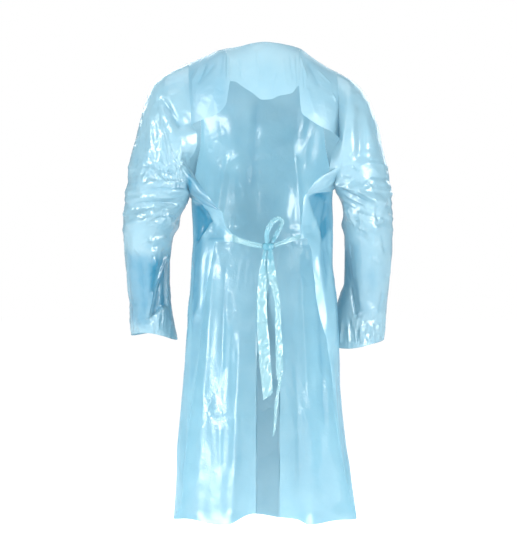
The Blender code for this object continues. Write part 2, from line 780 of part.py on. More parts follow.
def armhole(side):
    """The armhole's points, down the back and up the front.

    Each has its place round the sleeve, and the directions out of the body there and past its edge.
    """
    top = panel_top((side, 0))
    corner = STAR_EDGE[side]["height"](1)
    tip = WING_TIP[side]
    spots = [(0, 90, top, Vector((side * ARMHOLE_TOP, BODY_Y, top)))]
    heights = [mix(top, corner, row / (WING_ROWS - 1)) for row in range(1, WING_ROWS)]
    heights += [mix(corner, tip, step / FREE_STEPS) for step in range(1, FREE_STEPS + 1)]
    for height in heights:
        around = BACK_AROUND((top - height) / (top - tip))
        x = side * FREE_EDGE[side](height)
        spots.append((around, 180 - side * turn_at(x, height), height, back_point(x, height)))
    welded = [row[-1] for row in tongue_places(side)[1:] if row[-1][1] >= tip][::-1]
    welded += flap_places(side)[0][::-1]
    for turn, height in welded:
        around = mix(180, BACK_AROUND(1), (turn - SIDE_TURN) / (FLAP_EDGE[side](tip) - SIDE_TURN))
        spots.append((around, turn, height, wrapped(side * turn, height)))
    heights = [mix(top, CHEST_ROWS_END, share) for share in CHEST_SHARES[1:]]
    heights += [height for height in PANEL_HEIGHTS if height > UNDERARM[side]]
    for height in reversed(heights):
        turn = ARMHOLE_EDGE[side](height)
        around = FRONT_AROUND((top - height) / (top - UNDERARM[side]))
        spots.append((around, turn, height, wrapped(side * turn, height)))
    ring = []
    for i, (around, turn, height, point) in enumerate(spots):
        before = i if height == tip else i - 1  # the tip is a corner, where only the weld counts
        along = spots[(i + 1) % len(spots)][3] - spots[before][3]
        outward = outward_at(side * turn, height)
        ring.append((around, point, outward, side * outward.cross(along).normalized()))
    return ring


def seam_start(edge, outward, past, leaves):
    """Where a wall starts, SEAM clear of the edge that it leaves in another direction."""
    away = past * leaves.dot(past) + outward * leaves.dot(outward)
    turn = past.angle(away)
    if turn < math.pi / 2:
        return edge + away.normalized() * (SEAM + WALL / 2 * max(math.sin(turn), FACET_TURN))
    return edge + outward * (SEAM + WALL / 2 * (1 - math.cos(turn)))


def sleeve_section(side, step, around):
    """A point of one of the sleeve's sections, `around` degrees from its outer end."""
    table = SLEEVE[side]
    outer = Vector((side * table["outer_x"](step), table["middle_y"](step), table["outer_z"](step)))
    inner = Vector((side * table["inner_x"](step), table["middle_y"](step), table["inner_z"](step)))
    angle = math.radians(around)
    point = (outer + inner) / 2 + (outer - inner) / 2 * math.cos(angle)
    point.y -= table["deep"](step) * math.sin(angle)
    if step == CUFF_STEP:
        point.z += CUFF_WAVE * math.sin(2 * angle + side)
    return point


def sleeve(side, name):
    """A sleeve lofted from the armhole through its sections to the cuff."""
    steps = list(range(CUFF_STEP + 1))
    tracks = []
    for around, edge, outward, past in armhole(side):
        points = [sleeve_section(side, step, around) for step in steps[1:]]
        points.insert(0, seam_start(edge, outward, past, (points[0] - edge).normalized()))
        tracks.append([Line(steps, [point[axis] for point in points]) for axis in range(3)])
    rows = []
    for row in range(SLEEVE_STEPS + 1):
        step = CUFF_STEP * row / SLEEVE_STEPS
        ring = [Vector([line(step) for line in track]) for track in tracks]
        middle = sum(ring, Vector()) / len(ring)
        easing = min(step / FOLDS_FROM_STEP, 1.0)
        bent = []
        for point in ring:
            outward = Vector((point.x - middle.x, point.y - middle.y, 0)).normalized()
            bent.append(point.lerp(folded(point, outward, SLEEVE_FOLDS[side]), easing))
        bent.append(bent[0].copy())
        rows.append(bent if side > 0 else bent[::-1])
    return film(name, [rows])


def clear_of_knot(point):
    """The point, or if it is in the knot or nearer than a seam, the seam's width outside it."""
    off = point - Vector(KNOT_MIDDLE)
    level = sum((abs(c) / size) ** (2 / KNOT_SQUARE) for c, size in zip(off, KNOT_SIZE))
    surface = off / level ** (KNOT_SQUARE / 2)
    least = surface.length + SEAM + FACET_TURN * WALL / 2
    if off.length > least:
        return point
    return Vector(KNOT_MIDDLE) + off.normalized() * least


def band(name, table, across=None, slant=0.0, start=None):
    """A gathered band of film along its own middle line.

    across is the direction of its width, or None for square to the line, and start is its first
    row of points where that is settled elsewhere.
    """
    last = int(table["x"].stations[-1])
    rows = []
    for row in range(last * BAND_STEP + 1):
        step = row / BAND_STEP
        middle = Vector((table["x"](step), table["y"](step), table["z"](step)))
        ahead = min(step + NEAR, last)
        behind = ahead - NEAR
        forward = Vector([table[axis](ahead) - table[axis](behind) for axis in "xyz"]).normalized()
        aside = across or forward.cross(Vector((0, 1, 0))).normalized()
        half = table["half"](step)
        points = []
        for share in BAND_SHARES:
            point = middle + aside * half * share
            point.y -= half * BAND_BULGE * (1 - share**2)
            point.z += slant * share * max(0.0, 2 * step / last - 1) / 2
            points.append(clear_of_knot(point))
        rows.append(points)
    if start:
        rows[0] = start
    return film(name, [rows])


def tie(side, name, table):
    """A waist tie, from the flap's end to the knot."""
    start = []
    for share in BAND_SHARES:
        height = mix(TIE_FOOT[side], TIE_HEAD[side], (1 + share) / 2)
        edge = wrapped(side * FLAP_EDGE[side](height), height)
        start.append(edge + Vector((-side * (SEAM + FACET_TURN * WALL / 2), 0, 0)))
    return band(name, table, Vector((0, 0, 1)), start=start)


def film(name, grids):
    """A wall of film through grids of points, each a list of rows."""
    vertices = []
    faces = []
    for grid in grids:
        start = len(vertices)
        width = len(grid[0])
        vertices += [tuple(point) for row in grid for point in row]
        for i in range(len(grid) - 1):
            for j in range(width - 1):
                corner = start + i * width + j
                faces.append((corner, corner + width, corner + width + 1, corner + 1))
    mesh = bpy.data.meshes.new(name)
    mesh.from_pydata(vertices, [], faces)
    piece = bpy.data.objects.new(name, mesh)
    bpy.data.collections[COLLECTION].objects.link(piece)
    weld = piece.modifiers.new("weld", "WELD")
    weld.merge_threshold = MERGE
    wall = piece.modifiers.new("wall", "SOLIDIFY")
    wall.thickness = WALL
    wall.offset = 0.0
    mesh.shade_smooth()
    return piece


def knot():
    """The knot of the half bow, a small wrapped bundle of film."""
    bpy.ops.mesh.primitive_uv_sphere_add(segments=14, ring_count=8, radius=1, location=KNOT_MIDDLE)
    piece = bpy.context.object
    piece.name = "tie_knot"
    for vertex in piece.data.vertices:
        places = zip(KNOT_SIZE, vertex.co)
        vertex.co = [size * math.copysign(abs(c) ** KNOT_SQUARE, c) for size, c in places]
    for holder in list(piece.users_collection):
        holder.objects.unlink(piece)
    bpy.data.collections[COLLECTION].objects.link(piece)
    piece.data.shade_smooth()
    return piece


def material(name, colour, roughness):
    """A film finish: colour as linear red, green and blue."""
    finish = bpy.data.materials.new(name)
    finish.use_nodes = True
    shader = finish.node_tree.nodes["Principled BSDF"]
    shader.inputs["Base Color"].default_value = (*colour, 1.0)
    shader.inputs["Roughness"].default_value = roughness
    shader.inputs["Metallic"].default_value = 0.0
    return finish


def clear_scene():
    for thing in list(bpy.data.objects):
        bpy.data.objects.remove(thing, do_unlink=True)
    collection = bpy.data.collections.new(COLLECTION)
    bpy.context.scene.collection.children.link(collection)


def main():
    clear_scene()
    pieces = {
        "panel": [front_panel()],
        "back": [yoke(), shoulder(-1, "shoulder_left"), shoulder(1, "shoulder_right")],
        "sleeve": [sleeve(-1, "sleeve_left"), sleeve(1, "sleeve_right")],
        "tie": [
            tie(-1, "tie_left", TIE_LEFT),
            tie(1, "tie_right", TIE_RIGHT),
            band("tie_loop", LOOP),
            band("tie_tail_left", TAIL_LEFT, Vector((1, 0, 0)), TAIL_SLANT),
            band("tie_tail_right", TAIL_RIGHT, Vector((1, 0, 0)), TAIL_SLANT),
            knot(),
        ],
    }
    colours = {
        "panel": (0.25, 0.55, 0.70),
        "back": (0.40, 0.66, 0.78),
        "sleeve": (0.33, 0.61, 0.75),
        "tie": (0.43, 0.70, 0.76),
    }
    for kind, members in pieces.items():
        finish = material(f"film_{kind}", colours[kind], 0.35)
        for piece in members:
            piece.data.materials.append(finish)


main()
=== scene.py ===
"""Disposable isolation gown of thin embossed polyethylene film, hollow as it is when worn.

Metres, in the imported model's frame: +X is the gown's own right, +Y its front and +Z up.
Each piece of film lies on the surface of its solid, with the creases of handled film added.
"""

import math
from functools import partial

import bmesh
import bpy
import numpy as np
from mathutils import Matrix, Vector, noise
from mathutils.kdtree import KDTree


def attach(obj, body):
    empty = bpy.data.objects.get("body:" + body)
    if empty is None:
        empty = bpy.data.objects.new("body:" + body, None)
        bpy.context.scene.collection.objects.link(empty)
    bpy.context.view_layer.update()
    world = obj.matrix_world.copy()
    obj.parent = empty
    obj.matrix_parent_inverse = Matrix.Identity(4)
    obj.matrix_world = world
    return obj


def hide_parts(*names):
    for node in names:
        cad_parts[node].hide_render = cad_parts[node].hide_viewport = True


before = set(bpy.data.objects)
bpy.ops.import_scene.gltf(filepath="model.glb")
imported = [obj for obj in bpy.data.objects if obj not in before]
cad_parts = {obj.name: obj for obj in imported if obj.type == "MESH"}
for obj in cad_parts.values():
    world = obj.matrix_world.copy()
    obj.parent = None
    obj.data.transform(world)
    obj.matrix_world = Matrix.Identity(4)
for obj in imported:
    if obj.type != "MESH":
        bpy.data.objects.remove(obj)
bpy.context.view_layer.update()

FILM = 0.0003  # thickness of the drawn film; the real film is about 0.04 mm
SEAM = 0.0001  # gap between neighbouring pieces
SLIT = 0.0002  # half the gap at the slits beside the neck yoke
RIDGE_GAP = 0.00015  # half the gap along the shoulder line
FACET_TURN = 0.75  # sine of the least turn that a seam's gap allows for
MERGE = 0.00001  # points closer than this are one point
SEED = 3  # the noise that bends the facets starts from this on every run
SETTLING = 12  # rounds in which a top end finds its height
NEAR = 0.001  # step to either side when a direction is worked out

BODY_Y = 0.005  # the body's middle, front to back
FRONT_ROUNDING = 0.20  # height over which the chest rounds off up to the shoulder line
BACK_ROUNDING = 0.15  # the same on the back
NECK_HALF = 0.092  # half the width of the neck opening
NECK_SCOOP = 0.062  # how far the front neckline drops below the shoulder points
NECK_ROUND = 0.7  # below 1 the scoop is rounder than half a wave
ARMHOLE_TOP = 0.18  # distance of the armhole's top from the body's middle
NECK_CORNER = {-1: 0.69, 1: 0.754}  # the neck's corner, as a share of the way to the pleat
SIDE_TURN = 90.0  # the side line, in degrees round the body from the front centre

SHOULDER_POINTS = 34  # columns of the front panel from its side line to the neck's corner
NECK_POINTS = 24  # columns from there to the pleat
PLEAT_POINTS = 44  # columns across the pleat
CHEST_ROWS = 56  # rows from the shoulder line down the chest
CHEST_CROWDING = 1.3  # above 1 these rows lie closer at the shoulder line
ROW_SPACING = 0.0062  # between the rows below
HEM_ROWS = 14
FLAP_POINTS = 26  # points from the side line to the back edge
TONGUE_POINTS = 12  # points on over the part that narrows into a tie
WING_POINTS = 84  # points across a back piece, and down it
EDGE_ROWS = 40  # stretches of the armhole from its top to the star's corner
FREE_ROWS = 60  # stretches of the sleeve's free back edge
SLEEVE_ROWS = 190  # rows along a sleeve

PLEAT_MIDDLE = 0.0137  # the centre pleat's place across the front
PLEAT_HALF = 0.0286
PLEAT_REACH = 1.10  # where the panel passes into the pleat, in half widths from its middle
PLEAT_LAYER = 0.0026  # distance between the middles of the pleat's layers
PLEAT_RIPPLE = 0.012  # depth of the soft wave that the pleat starts as
PLEAT_TOP = -0.52  # where the wave starts
PLEAT_FLAT = -0.80  # from here down the pleat lies flat

# Columns of the tables below that hold no lengths
PLAIN = set("face turn around share step square along across out crisp shade".split())


class Line:
    """A smooth line through rows of (station, value or array) that never overshoots them."""

    def __init__(self, stations, values):
        self.stations = np.array(stations, float)
        self.values = np.array(values, float)
        self.gaps = np.diff(self.stations).reshape((-1,) + (1,) * (self.values.ndim - 1))
        rises = np.diff(self.values, axis=0) / self.gaps
        product = rises[:-1] * rises[1:]
        both = np.where(product > 0, rises[:-1] + rises[1:], 1.0)
        inner = np.where(product > 0, 2 * product / both, 0.0)
        self.slopes = np.concatenate([rises[:1], inner, rises[-1:]])

    def __call__(self, station):
        station = np.asarray(station, float)
        start = np.searchsorted(self.stations, station, side="right") - 1
        start = np.clip(start, 0, len(self.gaps) - 1)
        gap = self.gaps[start]
        t = station - self.stations[start]
        t = np.clip(t.reshape(t.shape + (1,) * (self.values.ndim - 1)) / gap, 0.0, 1.0)
        value = (1 + 2 * t) * (1 - t) ** 2 * self.values[start]
        value = value + (3 - 2 * t) * t**2 * self.values[start + 1]
        value = value + t * (1 - t) ** 2 * gap * self.slopes[start]
        return value - t**2 * (1 - t) * gap * self.slopes[start + 1]


def table(text):
    """A table's column names and its rows, on lines or between semicolons, with mm made metres."""
    head, *rows = [row.split() for row in text.replace(";", "\n").strip().splitlines()]
    units = [1 if name in PLAIN else 1000 for name in head]
    return head, [[float(cell) / unit for cell, unit in zip(row, units)] for row in rows]


def lines(text):
    """One smooth line for each column of a table after the first, by the column's name."""
    head, rows = table(text)
    stations, *columns = zip(*sorted(rows))
    return {name: Line(stations, column) for name, column in zip(head[1:], columns)}


def curve(text):
    """The smooth line through a table of two columns."""
    return next(iter(lines(text).values()))


def rows_of(text):
    return table(text)[1]


def hollows_and_shade(text):
    """Rows of face, slope, depth and painted shade and then the corners as x and z, with mm made
    metres.
    """
    made = []
    for row in text.strip().splitlines():
        face, slope, depth, shade, *places = map(float, row.split())
        places = [place / 1000 for place in places]
        corners = list(zip(places[::2], places[1::2]))
        made.append((face, corners, slope / 1000, depth / 1000, shade))
    return made


# Level sections of the body: half width, shift to +X, depths from the middle, squareness
BODY = lines("""
    height half shift front back square
    50 215 0 130 118 3; -100 212 0 130 118 3; -200 200 0 135 122 2.8; -280 186 0 134 124 2.5
    -330 176.5 -1 132 123 2.3; -365 172.5 -2 130 122 2.3; -420 171 -.5 126 120 2.2
    -470 170.3 0 122 118 2.1; -530 172.2 -1.8 128 120 2.1; -590 178.5 1.5 138 122 2.15
    -650 183.8 0 145 125 2.2; -770 190 -1 150 128 2.2; -860 195.8 -3.3 151 130 2.2
    -960 207 -2.5 152 132 2.2; -1030 213.2 1.2 153 134 2.2; -1100 219.3 4.9 155 135 2.2
    -1190 225 8.5 158 136 2.2
""")

# Height of the shoulder line, which runs on over the open neck as if it were closed
RIDGE = curve("""
    x height
    -240 -63; -205 -46.6; -173 -31.9; -138 -17.2; -109 -4; -92 .5; 0 29; 93 -.7; 116 -17.2
    138.5 -31.9; 163 -46.6; 192.4 -61.3; 240 -90
""")

# How far the front panel reaches round the body, in degrees from the front centre, down the front
# of the armhole to the side line
ARMHOLE_EDGE = {
    -1: curve("""
    height turn
    0 50; -40 50; -100 44.5; -160 42; -220 46.5; -280 59; -320 71; -345 80; -365.5 90
    """),
    1: curve("""
    height turn
    0 50; -50 50; -100 44.5; -160 42; -220 47.5; -270 58; -310 72; -335 84; -345 90
    """),
}
UNDERARM = {-1: -0.3655, 1: -0.345}  # height where the armhole meets the side line

# The weld between the panel and the sleeve, under the arm and on to the back
WELD = {
    -1: curve("turn height; 90 -365.5; 100 -372; 118 -380; 138.5 -394"),
    1: curve("turn height; 90 -345; 100 -350.5; 120 -354; 141.7 -359"),
}

# The flap beyond the line of the back edge: on along the weld to its end, then down to the tie
FLAP_EDGE = {
    -1: curve("""
    height turn
    -394 138.5; -403.7 148.6; -429.5 149.5; -445 152.6; -456 156.1; -480 156.1
    """),
    1: curve("""
    height turn
    -359 141.7; -361.5 145.9; -374.5 147.6; -410.4 147.9; -456.2 148.6; -480 148.6
    """),
}
FLAP_LEVEL = {-1: -0.417, 1: -0.3872}  # the first level row of the flap, below its slanting top

# The panel's back edges from the waist down, in degrees from the front centre
BACK_EDGE = {
    -1: curve("""
    height turn
    -350 138.5; -472 138.5; -532 136.5; -592 132.7; -635 132.3; -768 127.6; -866 123.9; -962 120.7
    -1060 115.9; -1119 112.8; -1160 110
    """),
    1: curve("""
    height turn
    -350 141.7; -472 141.7; -495 138; -560 136.3; -600 137.3; -649 135; -729 126.7; -846 119.7
    -944 117.9; -1060 111.8; -1119 101.5; -1160 97
    """),
}
FLAP_TOP = {-1: -0.394, 1: -0.359}  # where the flap passes the line of the back edge
TIE_HEAD = -0.456  # the upper corner where a tie leaves the flap
TIE_FOOT = {-1: -0.474, 1: -0.4666}  # the lower one

# Level rows of the front panel between the chest and the hem, in mm
PANEL_HEIGHTS = """
-300 -325 -345 -348.7 -365.5 -376.4 -387.2 -402 -417 -431 -445 -456 -466.6 -474 -490 -515 -550
-590 -635 -680 -730 -780 -830 -880 -930 -980 -1030 -1080
"""

# Height of the hem round the body, in degrees from the front centre towards +X
HEM = curve("""
    turn height
    -111 -1121; -98 -1143; -85 -1155; -60 -1166; -24 -1189; -5 -1162; 8 -1171; 20 -1176; 29 -1188
    48 -1175; 75 -1162; 90 -1152; 99 -1121
""")

# The pleat's cross-section, across it and outwards, in units of its half width and its layers
PLEAT = lines("""
    step across out
    0 -1.1 0; 1 -.8 .8; 2 .3 1; 3 .96 1; 4 1 .5; 5 .94 0; 6 0 0; 7 -.94 0; 8 -1 -.5; 9 -.94 -1
    10 -.3 -1; 11 .8 -.8; 12 1.1 0
""")
PLEAT_STEPS = 12

# The free back edge of the sleeve: down the armhole, past the star's corner, down to the wing's tip
FREE_EDGE = {
    -1: curve("""
    height x
    -36 180; -100 177; -150 173; -192.5 171.2; -214.5 157.2; -235.3 157.2; -258.7 163.9
    -278.3 176.8; -286.4 177; -304.6 169.1; -344 145.5; -388.2 111.8; -403.7 96.3
    """),
    1: curve("""
    height x
    -56 180; -120 183; -180 184; -222.9 184.7; -243.2 174.6; -267 167.4; -283.1 162.9
    -302.9 160.7; -315.7 140.6; -342.8 116.1; -361.5 103.7
    """),
}
WING_TIP = {-1: -0.4030, 1: -0.3608}  # height of the wing's tip, at the end of the weld

# Where a point of the armhole lies round the sleeve, in degrees from its top by way of the back:
# on the back by its share of the drop from the top to the wing's tip, on the front to the underarm
BACK_AROUND = curve("share around; 0 0; .02 15; .14 40; .46 90; .7 115; 1 150")
FRONT_AROUND = curve("""
    share around
    0 360; .04 340; .14 320; .29 297; .46 270; .64 247; .81 219; .935 197; 1 180
""")

# Sections of the sleeves by step: the outer and inner ends, the middle and half depth along Y.
# The upper sections fan out from under the arm, the lower ones are level.
SLEEVE = {
    -1: lines("""
    step outer_x outer_z inner_x inner_z middle_y deep
    1 237 -61 179 -362.5 4 104; 2 269 -90 180.5 -368 4 102; 3 283 -124 183 -373 5 100
    4 298 -173 185 -378 5 95; 5 310 -223 188 -382 5 91; 6 323 -272 190 -387 6 87
    7 330 -320 195 -394 8 83; 8 338 -369 203 -410 12 79; 9 341 -418 213 -436 18 76
    10 342 -467 223 -467 28 72; 11 340 -517 228 -517 40 68; 12 336 -566 229 -566 52 64
    13 332 -616 228 -616 64 60; 14 329 -666 221 -666 74 57; 15 325 -699 210 -709 80 55
    """),
    1: lines("""
    step outer_x outer_z inner_x inner_z middle_y deep
    1 215 -75 177.5 -342 4 104; 2 234 -92 179.5 -347 4 102; 3 250 -112 180 -351 5 100
    4 266 -144 182 -354 5 96; 5 281 -191 184 -357 5 92; 6 293 -247 187 -361 6 88
    7 306 -296 190 -367 8 84; 8 315 -340 195 -377 12 80; 9 319 -389 200 -401 18 76
    10 319 -443 203 -448 28 72; 11 317 -504 204 -504 42 67; 12 315 -566 203 -564 58 62
    13 311 -621 190 -611 72 58; 14 308 -679 178 -671 82 56; 15 304 -721 175 -734 87 55
    """),
}
CUFF_STEP = 15
CUFF_WAVE = 0.006  # how far the cuffs' edges swing up and down
FOLDS_FROM_STEP = 1.5  # the sleeve's folds fade out from here to the armhole

# Cut edges of the back pieces as (x, height): each runs from the neck slit outwards or across
SLIT_TOP = 0.0905
STAR_EDGE = {
    -1: lines("""
    along x height
    0 -78 -90.5; .1 -81.5 -114; .3 -86.5 -145; .45 -101 -164; .6 -116 -173; .8 -148 -183.5
    1 -171.2 -192.5
    """),
    1: lines("""
    along x height
    0 86.8 -100.8; .12 88 -124.3; .33 92.5 -165; .45 108.3 -180.1; .63 135.5 -197
    .86 169.6 -211.6; 1 184.7 -222.9
    """),
}
YOKE_TOP = lines("""
    along x height
    0 -90.5 0; .1 -75.3 -.2; .5 0 10.5; .9 71.5 2.5; 1 90.5 -.7
""")
YOKE_FOOT = lines("""
    along x height
    0 -78 -90.5; .07 -66.2 -92.2; .18 -47.1 -105.3; .31 -26.3 -118.7; .47 .5 -136.7; .6 21.7 -135
    .7 39.1 -127.4; .83 61.3 -122.9; .9 72.5 -118.6; .95 79.1 -108.9; 1 86.8 -100.8
""")

# The largest folds, each a straight run on one face: its two ends, half width and height.
# Heights above zero are ridges, below zero troughs. A face is -1 for the back, 1 for the front.
BODY_FOLDS = rows_of("""
    face x_start z_start x_end z_end width height
    -1 -168 -400 -125 -440 30 -16; -1 -155 -470 -150 -640 22 7; -1 155 -385 130 -440 28 -16
    -1 150 -520 160 -700 22 7; 1 -120 -480 -165 -1150 35 12; 1 -55 -700 -75 -1150 30 10
    1 95 -560 115 -1150 32 11; 1 155 -820 190 -1120 30 10; 1 -80 -160 -20 -420 30 8
    1 90 -140 60 -400 30 8
""")
SLEEVE_FOLDS = {
    -1: rows_of("""
    face x_start z_start x_end z_end width height
    -1 -240 -135 -198 -198 12 -9; -1 -300 -330 -190 -355 15 10; -1 -310 -395 -215 -375 12 -8
    -1 -320 -430 -230 -420 13 8; -1 -235 -500 -280 -660 14 -10; 1 -310 -400 -220 -430 16 9
    1 -300 -300 -210 -350 16 -8; 1 -320 -500 -250 -600 16 7
    """),
    1: rows_of("""
    face x_start z_start x_end z_end width height
    -1 175 -325 285 -378 14 10; -1 195 -385 270 -440 13 8; -1 235 -150 232 -270 14 -7
    -1 210 -490 235 -640 13 -8; 1 300 -400 210 -430 16 9; 1 290 -300 205 -340 16 -8
    1 300 -500 240 -600 16 7
    """),
}

# The ties and tails: the line down the middle of each band of film, and half its width
TIE_LEFT = lines("""
    step x y z half
    0 -72.7 -105 -465 9; 1 -56 -117 -471.5 6.8; 2 -30 -123.5 -479.5 6.2; 3 2 -128.5 -486 5.2
""")
TIE_RIGHT = lines("""
    step x y z half
    0 91.8 -99 -461.4 5.3; 1 70 -115 -468 5.8; 2 48 -122 -476.5 5.5; 3 24 -128.5 -484.5 4.8
""")
TAIL_LEFT = lines("""
    step x y z half
    0 7 -127.5 -492 5; 1 3.5 -127.5 -525 7; 2 2.5 -127.5 -561 12.5; 3 -2 -127 -612 11.9
    4 -1 -127.5 -661 12.3; 5 2.3 -128 -708 13.3; 6 5 -127.5 -755 13.1; 7 8.6 -127 -791 12.5
    8 13 -127.5 -842 11
""")
TAIL_RIGHT = lines("""
    step x y z half
    0 17.5 -130.5 -492 5; 1 19.5 -134 -525 8; 2 22.2 -135 -554 10; 3 30 -134.5 -590 8
    4 35.2 -133.5 -625 6.5; 5 36.8 -133.5 -670 6.7; 6 39 -134 -730 8.4; 7 40 -133.5 -780 8
    8 40.4 -133 -806 4; 9 34.7 -133.5 -840 4.5; 10 31.1 -133.5 -880 4.5; 11 27.5 -133.5 -929 3.5
""")
LOOP = lines("""
    step x y z half
    0 10.5 -131.5 -481 4; 1 9.5 -140 -460 5.6; 2 14 -143 -443 6; 3 25.5 -142 -427 5.6
    4 39 -137 -420 5; 5 47 -131 -426.5 4.6; 6 42 -127 -441 5; 7 33 -125.5 -457 5.4
    8 19 -126.5 -481 4
""")
KNOT_MIDDLE = np.array((0.0128, -0.1290, -0.4860))
KNOT_SIZE = np.array((0.0140, 0.0060, 0.0095))  # half sizes along X, Y and Z
KNOT_SQUARE = 0.8  # below 1 its sides are fuller than a ball's
BAND_ROWS = 26  # rows for each step of a band's table
BAND_POINTS = 29  # points across a band
BAND_BULGE = 0.25  # how far a band's middle bulges, as a share of its half width
TAIL_SLANT = 0.018  # how much higher one corner of a cut tail end is
FULL_GATHER = 0.005  # half width from which the gathers have their full height
KNOT_POINTS = 73  # points round the knot
KNOT_ROWS = 37
KNOT_GAP = 0.0004  # between the bands and the knot
KNOT_WRAP = 0.07  # depth of the turns round the knot, as a share of its size
KNOT_FOLD = 0.05
TIE_GATHER = (0.0007, 1.7)  # height of a band's gathers, and how many waves half its width holds
TAIL_GATHER = (0.0012, 0.8)
BAND_GLOSS = 0.4  # how crushed the ties are
BUNCH_REACH = 0.06  # distance from the knot over which the ties look deeper in colour

CREASE_FADE = 0.007  # distance over which creases fade out towards a weld
FADE_START = 0.002  # creases stop this near a weld
RIDGE_SPOTS = 40  # points along the shoulder line that the distance to a weld is taken from
TIE_SPOTS = 8  # the same along a flap's end
CREST = 1.7  # how steeply a crisp crease falls away, in half widths
CREASE_END = 0.22  # share of a crease's length over which each end fades
SWELL_SIZE = 0.11  # size of the film's long swells
FULL_TROUGH = 0.005  # depth at which a trough shows its full painted shade
# How much painted shade a trough gets in its colour
TROUGH_SHADE = 0.3
PATCH_FALL = 2.0  # how fast a crushed patch fades out from its middle
PATCH_END = 0.01  # a patch has no facets where its share is below this
PATCH_BEND = 0.6  # how far the lines between its facets bend, next to the facets' size
FILM_BEND = 0.5  # the same for the film's own soft facets
BEND_PACE = 0.6  # how fast that bend changes from place to place, next to the facets
FACET_MIDDLE = 0.5  # brings the mean depth of a patch's facets to about nothing
SHARP = 50.0  # edges that turn by more degrees than this stay sharp

